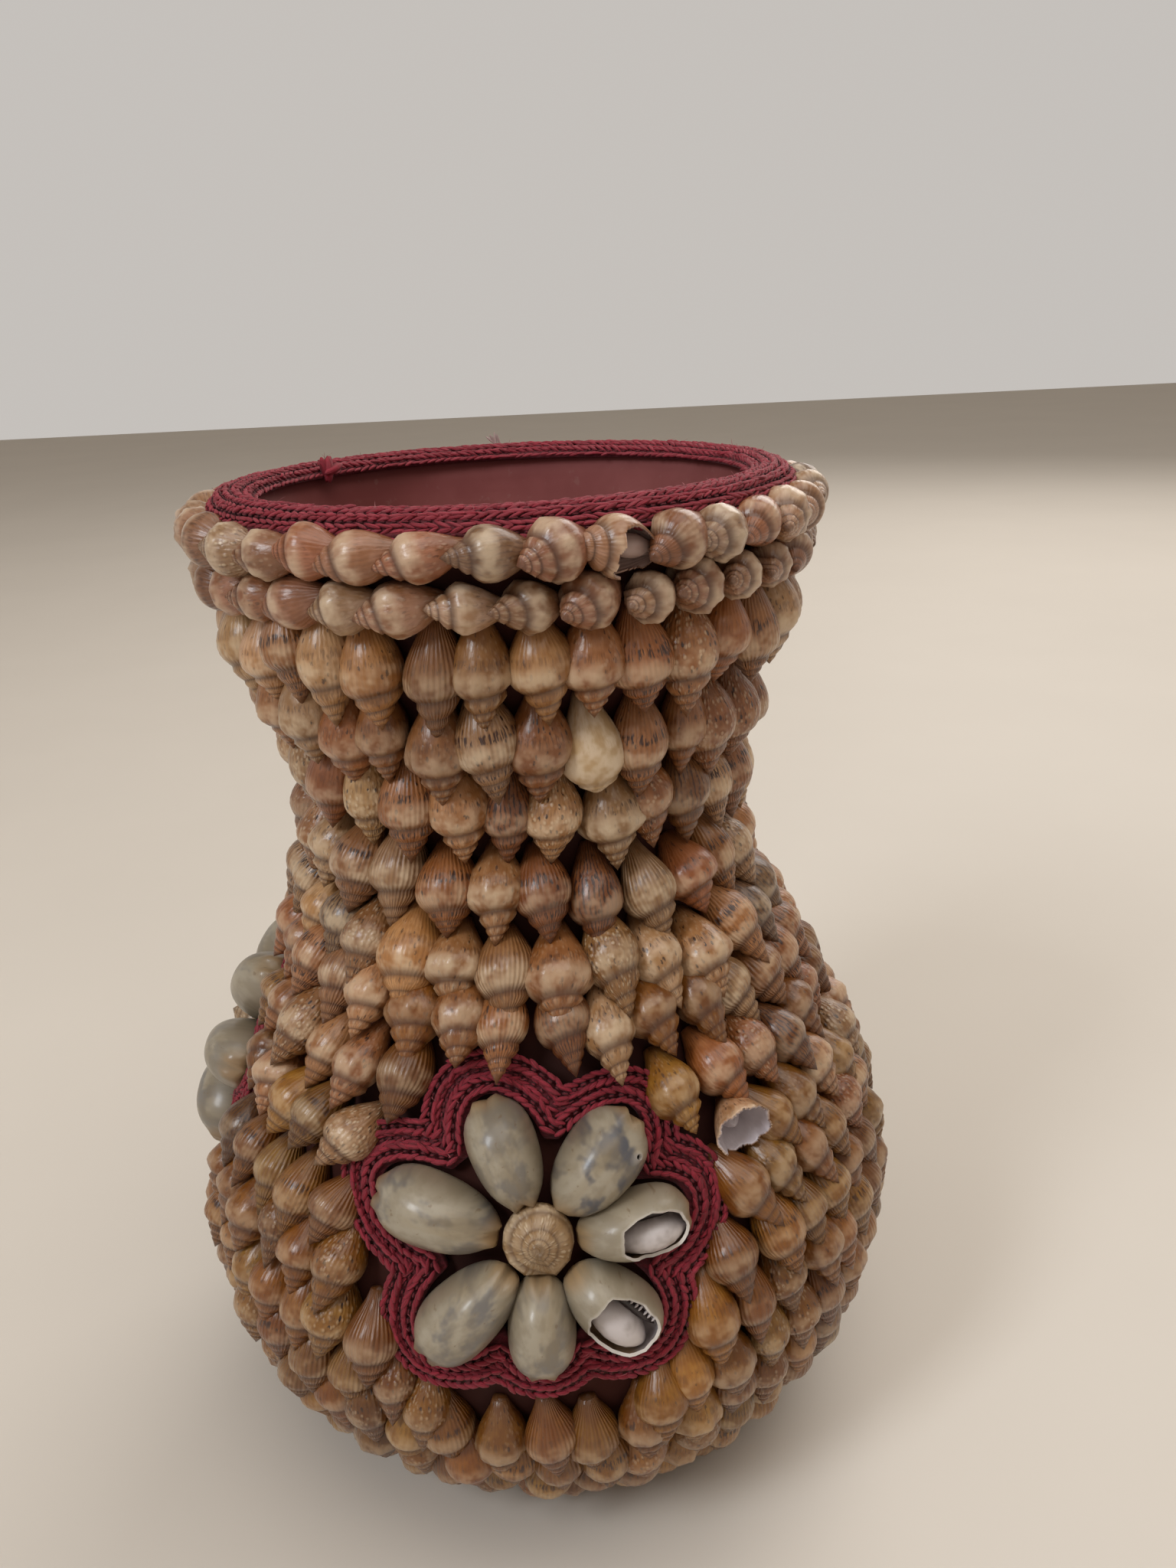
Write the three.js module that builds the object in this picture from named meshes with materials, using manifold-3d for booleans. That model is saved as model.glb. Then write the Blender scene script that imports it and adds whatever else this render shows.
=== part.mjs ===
// A shell vase: an earthenware pot with a flaring mouth, a waist and a round belly, covered with rows of
// small spired shells. A braid covers the lip, and three flowers of cowrie shells in looped braid sit on
// the belly. Millimetres, +Z up, origin under the middle of the foot, the front flower facing -Y.
import * as THREE from 'three';
import { mergeVertices } from 'three/addons/utils/BufferGeometryUtils.js';
import Module from 'manifold-3d';

// The pot
const LIP_HEIGHT = 187.5;
const MOUTH_RADIUS = 48.6;
const NECK_RADIUS = 33.6;
const NECK_HEIGHT = 133.6;
const BELLY_RADIUS = 62.5;
const BELLY_HEIGHT = 51.6;
const BASE_RADIUS = 31;
const WALL = 4.5;
const FLOOR = 6;
const POT_SIDES = 24;
const POT_STEPS = 5;
const HALVINGS = 40;
const LINE_SAMPLES = 600;

// Handles of the pot's outline, as lengths along its tangents
const MOUTH_FLARE = new THREE.Vector2(-2.8, -20.6);
const NECK_RISE = 14;
const NECK_FALL = 30.4;
const BELLY_RISE = 33.3;
const BELLY_FALL = 25;
const FOOT_SPREAD = new THREE.Vector2(15, 11.8);

// The braid on the lip
const BRAID_RADIUS = 46.2;
const BRAID_WIDTH = 8.2;
const BRAID_TOP = 191;
const BRAID_STRANDS = 3;
const BRAID_GROOVE = 1.1;

// The rows of small shells
const GAP = 0.3;
const SKIN_GAP = 0.8;
const SHELL_HEIGHT = 8;
const TIP_HEIGHT = 3;
const WAIST_HEIGHT = 4.2;
const WAIST_REACH = 0.28;
const CREST_SHIFT = 0.04;
const SHELL_SPACING = 9.4;
const RIM_ROWS = 2;
const RIM_SHELL_WIDTH = 6.6;
const RIM_SHELL_SPACING = 9.4;
const UPRIGHT_ROWS = 17;
const ROW_LINE_HEIGHT = 14;
const FOOT_CLEARANCE = 1.6;

// The way shells beside a flower lean away from it
const LEAN = THREE.MathUtils.degToRad(40);
const LEAN_ABOVE = 16;
const LEAN_RISE = 22;
const LEAN_ACROSS = 18;
const LEAN_FADE = 20;

// The flowers of cowries
const FLOWER_HEIGHT = 75.5;
const FLOWER_CLEARANCE = 33.4;
const FLOWER_ROOM = 30;
const FLOWER_TOP = 28.6;
const FLOWER_TURN = THREE.MathUtils.degToRad(130);
const PETALS = 7;
const PETAL_REACH = 25.5;
const PETAL_START = 6.6;
const COWRIE_HALF_WIDTH = 6.2;
const COWRIE_HEIGHT = 8.6;
const COWRIE_BELLY = 0.25;
const COWRIE_EGG = 0.22;
const COWRIE_SIDES = 6;
const COWRIE_RINGS = 4;
// The broken back of a cowrie, as shares of its half length, half width and height
const HOLLOW = { length: 0.62, width: 0.72, depth: 0.8, outward: 0.16, rise: 0.98 };
const BOSS_RADIUS = 5.6;
const BOSS_HEIGHT = 11;
const BOSS_SIDES = 6;
const LOOP_CLEARANCE = 0.9;
const LOOP_WIDTH = 4.4;
const LOOP_HEIGHT = 4.4;
const LOOP_INNER_VALLEY = 15.5;
const LOOP_OUTER_VALLEY = 23.5;
const LOOP_STEPS = 28;

const wasm = await Module();
wasm.setup();

const material = (color, roughness) => new THREE.MeshStandardMaterial({ color, roughness, metalness: 0 });
const clay = () => material(0x5a2b23, 0.55);
const braid = () => material(0x8c2338, 0.8);
const shell = () => material(0xb08a5c, 0.35);
const cowrie = () => material(0xb9ad92, 0.22);

// The pot's outline, from the lip down to the edge of the foot
function outline() {
  const lip = new THREE.Vector2(MOUTH_RADIUS, LIP_HEIGHT);
  const neck = new THREE.Vector2(NECK_RADIUS, NECK_HEIGHT);
  const belly = new THREE.Vector2(BELLY_RADIUS, BELLY_HEIGHT);
  const foot = new THREE.Vector2(BASE_RADIUS, 0);
  const up = (point, rise) => new THREE.Vector2(point.x, point.y + rise);
  const path = new THREE.CurvePath();
  path.add(new THREE.CubicBezierCurve(lip, lip.clone().add(MOUTH_FLARE), up(neck, NECK_RISE), neck));
  path.add(new THREE.CubicBezierCurve(neck, up(neck, -NECK_FALL), up(belly, BELLY_RISE), belly));
  path.add(new THREE.CubicBezierCurve(belly, up(belly, -BELLY_FALL), foot.clone().add(FOOT_SPREAD), foot));
  return path;
}

const path = outline();
const pathLength = path.getLength();

// Point and outward normal of the outline, at a distance below the lip measured along it
function outlineAt(distance) {
  const place = THREE.MathUtils.clamp(distance / pathLength, 0, 1);
  const point = path.getPoint(place);
  const tangent = path.getTangent(place);
  return { radius: point.x, height: point.y, normal: new THREE.Vector2(-tangent.y, tangent.x) };
}

// Point at a height above the pot's skin. Azimuth 0 is the front, and grows to the right.
function onSkin(distance, azimuth, lift) {
  const at = outlineAt(distance);
  const radius = at.radius + at.normal.x * lift;
  const height = at.height + at.normal.y * lift;
  return new THREE.Vector3(radius * Math.sin(azimuth), -radius * Math.cos(azimuth), height);
}

// Distance below the lip at which a falling measure of the outline reaches a value
function distanceWhere(measure, value) {
  let low = 0;
  let high = pathLength;
  for (let halving = 0; halving < HALVINGS; halving += 1) {
    const middle = (low + high) / 2;
    if (measure(middle) > value) {
      low = middle;
    } else {
      high = middle;
    }
  }
  return low;
}

function toSolid(geometry) {
  const bare = geometry.clone();
  bare.deleteAttribute('normal');
  bare.deleteAttribute('uv');
  const merged = mergeVertices(bare, 1e-4);
  return new wasm.Manifold(new wasm.Mesh({
    numProp: 3,
    vertProperties: new Float32Array(merged.getAttribute('position').array),
    triVerts: new Uint32Array(merged.getIndex().array),
  }));
}

function toGeometry(solid) {
  const mesh = solid.getMesh();
  const geometry = new THREE.BufferGeometry();
  geometry.setAttribute('position', new THREE.BufferAttribute(new Float32Array(mesh.vertProperties), 3));
  geometry.setIndex(new THREE.BufferAttribute(new Uint32Array(mesh.triVerts), 1));
  geometry.computeVertexNormals();
  return geometry;
}

// Skins a run of sections that each hold the same number of points, as a ring or as a capped length
function loft(sections, closed) {
  const size = sections[0].length;
  const index = [];
  const spans = closed ? sections.length : sections.length - 1;
  for (let span = 0; span < spans; span += 1) {
    const here = span * size;
    const there = ((span + 1) % sections.length) * size;
    for (let side = 0; side < size; side += 1) {
      const next = (side + 1) % size;
      index.push(here + side, there + side, there + next);
      index.push(here + side, there + next, here + next);
    }
  }
  if (!closed) {
    const last = (sections.length - 1) * size;
    for (let side = 1; side + 1 < size; side += 1) {
      index.push(0, side, side + 1);
      index.push(last, last + side + 1, last + side);
    }
  }
  const geometry = new THREE.BufferGeometry().setFromPoints(sections.flat());
  geometry.setIndex(index);
  geometry.computeVertexNormals();
  return geometry;
}

const vase = new THREE.Group();

function addPart(name, geometry, finish) {
  const mesh = new THREE.Mesh(geometry, finish);
  mesh.name = name;
  vase.add(mesh);
  return mesh;
}

// The hollow pot, turned from its outer outline and the same outline moved in by the wall
function pot() {
  const steps = path.curves.length * POT_STEPS;
  const outer = [];
  const inner = [];
  for (let step = 0; step <= steps; step += 1) {
    const at = outlineAt(pathLength * step / steps);
    outer.push(new THREE.Vector2(at.radius, at.height));
    inner.push(new THREE.Vector2(at.radius - at.normal.x * WALL, at.height - at.normal.y * WALL));
  }
  inner[0].y = LIP_HEIGHT;
  const bowl = inner.filter((point) => point.y > FLOOR + WALL / 2);
  const bowlFoot = new THREE.Vector2(bowl[bowl.length - 1].x - WALL, FLOOR);
  const underside = new THREE.Vector2(0, 0);
  const bottom = new THREE.Vector2(0, FLOOR);
  const profile = [underside, ...outer.reverse(), ...bowl, bowlFoot, bottom];
  return new THREE.LatheGeometry(profile, POT_SIDES).rotateX(Math.PI / 2);
}

// The lip's braid: a flat ring with one ridge for each strand
function rimBraid() {
  const profile = [];
  const inner = BRAID_RADIUS - BRAID_WIDTH / 2;
  const base = LIP_HEIGHT + GAP;
  profile.push(new THREE.Vector2(inner, base), new THREE.Vector2(inner + BRAID_WIDTH, base));
  for (let strand = BRAID_STRANDS; strand > 0; strand -= 1) {
    const edge = inner + BRAID_WIDTH * strand / BRAID_STRANDS;
    const middle = edge - BRAID_WIDTH / BRAID_STRANDS / 2;
    if (strand < BRAID_STRANDS) {
      profile.push(new THREE.Vector2(edge, BRAID_TOP - BRAID_GROOVE));
    }
    profile.push(new THREE.Vector2(middle, BRAID_TOP));
  }
  profile.push(profile[0].clone());
  return new THREE.LatheGeometry(profile, POT_SIDES).rotateX(Math.PI / 2);
}

// The three flowers, by the direction they face
const flowerDistance = distanceWhere((distance) => outlineAt(distance).height, FLOWER_HEIGHT);
const evenPetals = (first) => Array.from({ length: PETALS }, (_, petal) => (
  { angle: first + petal * 360 / PETALS, reach: PETAL_REACH, broken: false }
));
const frontPetals = [
  { angle: 109.5, reach: 24.5, broken: false },
  { angle: 166, reach: 27.3, broken: false },
  { angle: 226.5, reach: 26.8, broken: false },
  { angle: 268.5, reach: 24.5, broken: false },
  { angle: 311, reach: 26.8, broken: true },
  { angle: 358, reach: 26, broken: true },
  { angle: 410.7, reach: 25.5, broken: false },
];
const flowers = [
  { name: 'front', azimuth: 0, petals: frontPetals },
  { name: 'right', azimuth: FLOWER_TURN, petals: evenPetals(116) },
  { name: 'left', azimuth: FLOWER_TURN * 2, petals: evenPetals(113) },
];

// Point of a flower, from its middle outwards along the skin
function onFlower(flower, angle, reach, lift) {
  const distance = flowerDistance - reach * Math.sin(angle);
  const azimuth = flower.azimuth + reach * Math.cos(angle) / outlineAt(distance).radius;
  return onSkin(distance, azimuth, lift);
}

// A shell's lean at a place on the skin, from the flowers near it
function leanAt(distance, azimuth) {
  let lean = 0;
  for (const flower of flowers) {
    const turn = Math.PI * 2;
    const away = ((azimuth - flower.azimuth + turn * 1.5) % turn) - Math.PI;
    const across = away * outlineAt(distance).radius;
    const down = distance - flowerDistance;
    const beside = Math.exp(-(((down + LEAN_ABOVE) / LEAN_RISE) ** 2));
    const near = Math.exp(-Math.max(0, Math.abs(across) - FLOWER_CLEARANCE) / LEAN_FADE);
    lean += LEAN * Math.tanh(across / LEAN_ACROSS) * beside * near;
  }
  return lean;
}

// Place on the skin, from a shell's middle along its length towards the spire
function alongShell(row, azimuth, lean, along, lift) {
  const distance = row.distance + along * Math.cos(lean);
  const turned = azimuth + along * Math.sin(lean) / row.radius;
  return onSkin(distance, turned, lift);
}

// One shell's widest section, and the narrower one where it touches its neighbour
function bodySection(row, azimuth, lean) {
  const half = row.length / 2 / Math.cos(lean);
  return [
    alongShell(row, azimuth, lean, Math.min(half, row.spire), row.tip),
    alongShell(row, azimuth, lean, row.crest, SHELL_HEIGHT),
    alongShell(row, azimuth, lean, -half, SKIN_GAP),
  ];
}

function waistSection(row, azimuth, lean) {
  const half = row.length * WAIST_REACH;
  return [
    alongShell(row, azimuth, lean, half, SKIN_GAP),
    alongShell(row, azimuth, lean, row.crest, WAIST_HEIGHT),
    alongShell(row, azimuth, lean, -half, SKIN_GAP),
  ];
}

// A run of shells from one azimuth to another, each touching the next
function shellRun(row, from, to, closed) {
  const arc = (to - from) * (row.radius + WAIST_HEIGHT);
  const count = Math.floor(arc / row.spacing);
  const step = (to - from) / count;
  const sections = [];
  for (let place = 0; place < count; place += 1) {
    const azimuth = from + (place + 0.5) * step;
    const lean = row.upright ? leanAt(row.distance, azimuth) : 0;
    if (place === 0 && !closed) {
      sections.push(waistSection(row, azimuth - step / 2, lean));
    }
    sections.push(bodySection(row, azimuth, lean));
    sections.push(waistSection(row, azimuth + step / 2, lean));
  }
  return loft(sections, closed);
}

function makeRow(top, bottom, upright) {
  const distance = (top + bottom) / 2;
  const length = bottom - top - GAP;
  const aboveFlower = flowerDistance - FLOWER_TOP - distance;
  return {
    distance,
    length,
    upright,
    spire: aboveFlower > 0 ? aboveFlower : length,
    radius: outlineAt(distance).radius,
    crest: upright ? length * CREST_SHIFT : -length * CREST_SHIFT,
    tip: upright ? TIP_HEIGHT : SKIN_GAP,
    spacing: upright ? SHELL_SPACING : RIM_SHELL_SPACING,
  };
}

// Edges of the upright rows: even steps along a line that stands off the skin, so that rows crowd
// together on the belly and spread in the hollow of the neck
function rowEdges(top, bottom) {
  const line = [{ distance: top, run: 0 }];
  const standOff = (distance) => onSkin(distance, 0, ROW_LINE_HEIGHT);
  for (let sample = 1; sample <= LINE_SAMPLES; sample += 1) {
    const distance = top + (bottom - top) * sample / LINE_SAMPLES;
    const before = line[sample - 1];
    line.push({ distance, run: before.run + standOff(distance).distanceTo(standOff(before.distance)) });
  }
  const total = line[LINE_SAMPLES].run;
  return Array.from({ length: UPRIGHT_ROWS + 1 }, (_, edge) => (
    line.find((sample) => sample.run >= total * edge / UPRIGHT_ROWS - 1e-6).distance
  ));
}

function allRows() {
  const rows = [];
  for (let row = 0; row < RIM_ROWS; row += 1) {
    rows.push(makeRow(row * RIM_SHELL_WIDTH, (row + 1) * RIM_SHELL_WIDTH, false));
  }
  const tipHeight = (distance) => onSkin(distance, 0, TIP_HEIGHT).z;
  const edges = rowEdges(RIM_ROWS * RIM_SHELL_WIDTH, distanceWhere(tipHeight, FOOT_CLEARANCE));
  for (let row = 0; row < UPRIGHT_ROWS; row += 1) {
    rows.push(makeRow(edges[row], edges[row + 1], true));
  }
  return rows;
}

// Rows that meet the flowers stop short of them, in one run for each space between two flowers
function addRow(row, number) {
  const name = `shell_row_${String(number).padStart(2, '0')}`;
  const down = row.distance - flowerDistance;
  if (!row.upright || Math.abs(down) >= FLOWER_ROOM) {
    addPart(name, shellRun(row, 0, Math.PI * 2, true), shell());
    return;
  }
  const clear = Math.sqrt(FLOWER_CLEARANCE ** 2 - down ** 2) / row.radius;
  flowers.forEach((flower, place) => {
    const last = place === flowers.length - 1;
    const next = last ? flowers[0].azimuth + Math.PI * 2 : flowers[place + 1].azimuth;
    const run = shellRun(row, flower.azimuth + clear, next - clear, false);
    addPart(`${name}_${['right', 'back', 'left'][place]}`, run, shell());
  });
}

// A cowrie lying on its flat side, its length along X, the broad end towards +X
function cowrieGeometry(halfLength) {
  const geometry = new THREE.SphereGeometry(1, COWRIE_SIDES, COWRIE_RINGS).rotateZ(-Math.PI / 2);
  const position = geometry.getAttribute('position');
  for (let corner = 0; corner < position.count; corner += 1) {
    const x = position.getX(corner);
    const y = position.getY(corner) * COWRIE_HALF_WIDTH * (1 + COWRIE_EGG * x);
    const z = position.getZ(corner) * COWRIE_HEIGHT;
    position.setXYZ(corner, x * halfLength, y, z < 0 ? z * COWRIE_BELLY : z);
  }
  return geometry;
}

// The hollow that shows where a cowrie's back is broken away
function openCowrie(halfLength) {
  const hollow = new THREE.SphereGeometry(1, COWRIE_SIDES, COWRIE_RINGS);
  hollow.scale(halfLength * HOLLOW.length, COWRIE_HALF_WIDTH * HOLLOW.width, COWRIE_HEIGHT * HOLLOW.depth);
  hollow.translate(halfLength * HOLLOW.outward, 0, COWRIE_HEIGHT * HOLLOW.rise);
  return toGeometry(toSolid(cowrieGeometry(halfLength)).subtract(toSolid(hollow)));
}

function addPetal(flower, petal, number) {
  const angle = THREE.MathUtils.degToRad(petal.angle);
  const middle = (petal.reach + PETAL_START) / 2;
  const halfLength = (petal.reach - PETAL_START) / 2;
  const lift = SKIN_GAP + COWRIE_HEIGHT * COWRIE_BELLY;
  const foot = onFlower(flower, angle, middle, lift);
  const outward = onFlower(flower, angle, petal.reach, lift).sub(onFlower(flower, angle, PETAL_START, lift));
  const up = onFlower(flower, angle, middle, lift + 1).sub(foot);
  const across = up.clone().cross(outward).normalize();
  outward.crossVectors(across, up).normalize();
  const geometry = petal.broken ? openCowrie(halfLength) : cowrieGeometry(halfLength);
  const mesh = addPart(`${flower.name}_cowrie_${number}`, geometry, cowrie());
  mesh.quaternion.setFromRotationMatrix(new THREE.Matrix4().makeBasis(outward, across, up));
  mesh.position.copy(foot);
}

// The shell in a flower's middle stands on its mouth, spire outwards
function addBoss(flower) {
  const profile = [[0, 0], [0.86, 0], [1, 0.3], [0.62, 0.68], [0, 1]].map(([out, rise]) => (
    new THREE.Vector2(out * BOSS_RADIUS, rise * BOSS_HEIGHT)
  ));
  const foot = onFlower(flower, 0, 0, SKIN_GAP);
  const up = onFlower(flower, 0, 0, SKIN_GAP + 1).sub(foot);
  const mesh = addPart(`${flower.name}_boss_shell`, new THREE.LatheGeometry(profile, BOSS_SIDES), shell());
  mesh.quaternion.setFromUnitVectors(new THREE.Vector3(0, 1, 0), up);
  mesh.position.copy(foot);
}

// Reach of the petals' outline in one direction, widened by a margin
function petalOutline(flower, angle, margin, valley) {
  let reach = valley;
  for (const petal of flower.petals) {
    const turn = angle - THREE.MathUtils.degToRad(petal.angle);
    const middle = (petal.reach + PETAL_START) / 2;
    const long = (petal.reach - PETAL_START) / 2 + margin;
    const wide = COWRIE_HALF_WIDTH + margin;
    const a = (Math.cos(turn) / long) ** 2 + (Math.sin(turn) / wide) ** 2;
    const b = -2 * middle * Math.cos(turn) / long ** 2;
    const c = (middle / long) ** 2 - 1;
    const inside = b * b - 4 * a * c;
    if (inside > 0) {
      reach = Math.max(reach, (-b + Math.sqrt(inside)) / (2 * a));
    }
  }
  return reach;
}

// The braid that loops round a flower's petals
function flowerBraid(flower) {
  const sections = [];
  for (let step = 0; step < LOOP_STEPS; step += 1) {
    const angle = Math.PI * 2 * step / LOOP_STEPS;
    const inner = petalOutline(flower, angle, LOOP_CLEARANCE, LOOP_INNER_VALLEY);
    const outer = petalOutline(flower, angle, LOOP_CLEARANCE + LOOP_WIDTH, LOOP_OUTER_VALLEY);
    sections.push([
      onFlower(flower, angle, inner, SKIN_GAP),
      onFlower(flower, angle, outer, SKIN_GAP),
      onFlower(flower, angle, (inner + outer) / 2, LOOP_HEIGHT),
    ]);
  }
  return loft(sections, true);
}

addPart('pot', pot(), clay());
addPart('rim_braid', rimBraid(), braid());
allRows().forEach((row, place) => addRow(row, place + 1));
for (const flower of flowers) {
  flower.petals.forEach((petal, place) => addPetal(flower, petal, place + 1));
  addBoss(flower);
  addPart(`${flower.name}_braid`, flowerBraid(flower), braid());
}

export default vase;
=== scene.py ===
"""A shell vase: an earthenware pot covered with rows of small spired shells, with a chain-stitch braid
on the lip and three flowers of cowries in looped braid on the belly. Built in millimetres."""
import math

import bpy
import numpy as np
from mathutils import Matrix


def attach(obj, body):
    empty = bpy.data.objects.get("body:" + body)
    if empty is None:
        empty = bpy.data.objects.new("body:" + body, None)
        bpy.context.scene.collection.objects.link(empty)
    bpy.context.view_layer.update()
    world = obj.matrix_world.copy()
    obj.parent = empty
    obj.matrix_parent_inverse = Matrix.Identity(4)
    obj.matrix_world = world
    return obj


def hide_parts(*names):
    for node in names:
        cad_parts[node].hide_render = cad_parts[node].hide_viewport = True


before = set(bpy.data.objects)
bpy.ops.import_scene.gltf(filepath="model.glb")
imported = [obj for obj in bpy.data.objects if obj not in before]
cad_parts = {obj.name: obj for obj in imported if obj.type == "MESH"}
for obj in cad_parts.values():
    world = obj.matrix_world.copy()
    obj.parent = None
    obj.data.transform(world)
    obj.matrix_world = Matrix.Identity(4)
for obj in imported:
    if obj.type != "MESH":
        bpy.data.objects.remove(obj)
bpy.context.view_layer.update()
rng = np.random.default_rng(1874)

MM = 0.001
TURN = 2.0 * math.pi
UP = np.array([0.0, 0.0, 1.0])
TINY = 1e-6

# The pot's outline from the lip down: points (radius, height), and the steps to the handles of its curves
LIP = np.array([48.6, 187.5])
NECK = np.array([33.6, 133.6])
BELLY = np.array([62.5, 51.6])
FOOT = np.array([31.0, 0.0])
MOUTH_FLARE = np.array([-2.8, -20.6])
NECK_RISE = np.array([0.0, 14.0])
NECK_FALL = np.array([0.0, -30.4])
BELLY_RISE = np.array([0.0, 33.3])
BELLY_FALL = np.array([0.0, -25.0])
FOOT_SPREAD = np.array([15.0, 11.8])
CURVE_SAMPLES = 240
WALL = 4.5
FLOOR = 6.0
LIP_CROWN = 0.4
POT_SIDES = 120
POT_RINGS = 48
# Waves round the pot: count, size as a share of the radius, and phase
POT_WAVES = [(2, 0.003, 0.6), (5, 0.002, 0.0)]

# The level rows below the lip
RIM_ROWS = 2
RIM_SHELL_WIDTH = 6.6
RIM_SHELL_LENGTH = 14.2
RIM_PLUMPNESS = 1.3
RIM_SPACING = 9.1
RIM_LIFT = 3.9
# How far each level row sits below its place
RIM_DROPS = [-1.0, 0.0]
RIM_TILT = math.radians(17)
# On the right of the front, level shells turn their spires out: each row's extra tilt, and the azimuths
RIM_TURN_OUT = [math.radians(9), math.radians(15)]
RIM_TURN_FROM = math.radians(3)
RIM_TURN_TO = math.radians(100)
RIM_SCATTER = {"place": 0.05, "turn": math.radians(6), "tilt": math.radians(3), "lift": 0.2, "drop": 0.25,
               "roll": 0.6}

# The upright rows
UPRIGHT_ROWS = 17
ROW_LINE_HEIGHT = 14.0
ROW_SAMPLES = 600
TIP_HEIGHT = 3.0
FOOT_CLEARANCE = 1.6
UPRIGHT_SPACING = 8.5
UPRIGHT_LENGTH = 17.0
UPRIGHT_WIDTH = 9.5
NECK_WIDTH = 10.4
NECK_LENGTH = 18.2
AXIS_HEIGHT = 4.4
LAP_HEIGHT = 4.3
NARROW_END_LIFT = 0.7
PIVOT = 0.5
FLOOR_CLEARANCE = 0.4
FOOT_ROW_SCALE = 0.8
UPRIGHT_SCATTER = {"place": 0.07, "lean": math.radians(4.5), "tilt": math.radians(2.0), "drop": 0.8,
                   "roll": 0.5}
# How far below the middle of its band a row sits, from the highest upright row down, and then on the belly
ROW_DROPS = [2.2, 4.6, 6.0, 6.8, 4.8, 0.6, 0.2, 0.4]
BELLY_DROP = 2.5
# The neck rows dip to the right
ROW_DIP = 4.0
DIP_ROWS = range(4, 11)
# The rows above this one have the neck's longer shells
BELLY_ROW = 9
# The tints of the neck give way to those of the belly over a few rows
BELLY_FROM = 11.5
NECK_FADE = 4.0
# The azimuth of one shell in each upright row that shows at the front, in degrees
ROW_PHASES = [-3.1, -3.3, -1.1, -5.8, -3.5, -4.2]

# Two broken shells: the middle and half size of what is gone, along the shell's turns and around it
RIM_HOLE = {"azimuth": math.radians(20), "hole": (0.5, 0.36, 0.47, 0.25), "tilt": math.radians(6),
            "lining": 0.35, "pillar": 0.9}
LOST_SPIRE = {"row": 10, "azimuth": math.radians(33), "hole": (2.5, 1.76, 0.5, 8.0), "tilt": math.radians(52),
              "lean": math.radians(-28), "drop": -2.5, "turn": math.radians(0.5), "lining": 0.9,
              "pillar": 0.55}
# The jags of a hole's edge: depth, waves around the shell, slant and phase
JAG = 0.03
JAG_WAVES = (3, 8)
JAG_SLANT = 7
JAG_PHASE = 2.0
# The pillar inside a broken shell, as shares of the shell's width
PILLAR_WIDTH = 0.4
PILLAR_DEPTH = 0.1
# A smooth cream shell with hardly any spire, in the neck
PALE_SHELL = {"row": 4, "azimuth": math.radians(17), "suture": 0.84, "ribs": 0.0, "knobs": 0.0, "suture_line_and_shade": 0.4,
              "peak": 0.72, "marks": np.zeros(3), "grain": np.zeros(3), "tint": np.array([0.62, 0.47, 0.32])}

# The way shells beside a flower lean away from it
LEAN = math.radians(46)
LEAN_ABOVE = 7.0
LEAN_RISE = 11.0
LEAN_ACROSS = 18.0
LEAN_FADE = 20.0

# The grid of a small shell: shares of the body, whorls of the spire, and shares of a turn from its back
BODY_ROWS = 1.0 - (1.0 - np.arange(10) / 10.0) ** 1.5
SPIRE_ROWS = np.concatenate([np.add.outer(np.arange(2), [0.0, 0.3, 0.6, 0.85]).ravel(), [2.0, 2.3, 2.6, 2.9]])
BACK_GAP = 0.07
PLAIN_COLUMNS = np.concatenate([[BACK_GAP, 0.16, 0.24], np.linspace(0.3, 0.7, 9),
                                [0.76, 0.84, 1.0 - BACK_GAP]])
RELIEF_COLUMNS = np.concatenate([[BACK_GAP, 0.16], np.linspace(0.23, 0.77, 25), [0.84, 1.0 - BACK_GAP]])
# A broken shell has a finer grid
BROKEN_BODY_ROWS = np.linspace(0.0, 1.0, 44, endpoint=False)
BROKEN_SPIRE_ROWS = np.concatenate([np.add.outer(np.arange(3), np.arange(8) / 8.0).ravel(), [3.0, 3.4]])
BROKEN_COLUMNS = np.linspace(0.012, 0.988, 86)

# A small shell's form: its narrow end as a share of its girth, the points at its ends as shares of its length
NARROW = 0.28
SHELL_ENDS = (-0.02, 0.985)
SHELL_WALL = 0.45
WHORL_LEAN = 0.85
# The dark line and painted shade in the grooves at its sutures: their width, and how much faster they fade on
# the body
SUTURE_SHADE_WIDTH = 0.13
BODY_FADE = 2.2
# The ribs and knobs: their counts, and where they rise and fade on the body and on a whorl
RIB_COUNT = 13
RIB_FROM = 0.25
RIB_RISE = 0.45
RIB_FADE = 0.7
KNOB_COUNT = 9
KNOB_POWER = 1.5
BODY_CROWN = (0.8, 0.13)
WHORL_CROWN = (0.42, 0.25)
RELIEF_TWIST = 0.37
RELIEF_PALENESS = 7.0
RIB_PALENESS = 0.6

# The flowers of cowries
FLOWER_HEIGHT = 74.7
FLOWER_CLEARANCE = 33.4
FLOWER_ROOM = 30.0
FLOWER_TURN = math.radians(130)
FLOWER_AZIMUTHS = [0.0, FLOWER_TURN, 2 * FLOWER_TURN]
# The gap that the rows leave for a flower, how much it narrows above, and the rows' shift to the right there
RUN_CLEARANCE = 31.0
RUN_RISE = 1.2
RUN_SHIFT = 1.0
SKIN_GAP = 0.8
BOSS_RADIUS = 5.7
BOSS_HEIGHT = 10.0


# Measuring

def scatter(size, shape=None):
    return rng.normal(0.0, size, shape)


def varied(spread, low, high):
    """A factor about 1, drawn at random and kept within limits."""
    return np.clip(rng.normal(1.0, spread), low, high)


def bell(value, middle, width):
    return np.exp(-(((value - middle) / width) ** 2))


def wavy(turn, waves):
    """1 with waves round a circle, each given by its count, size and phase."""
    return 1.0 + sum(size * np.sin(count * turn + phase) for count, size, phase in waves)


def unit(vector):
    return vector / np.linalg.norm(vector, axis=-1, keepdims=True)


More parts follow.
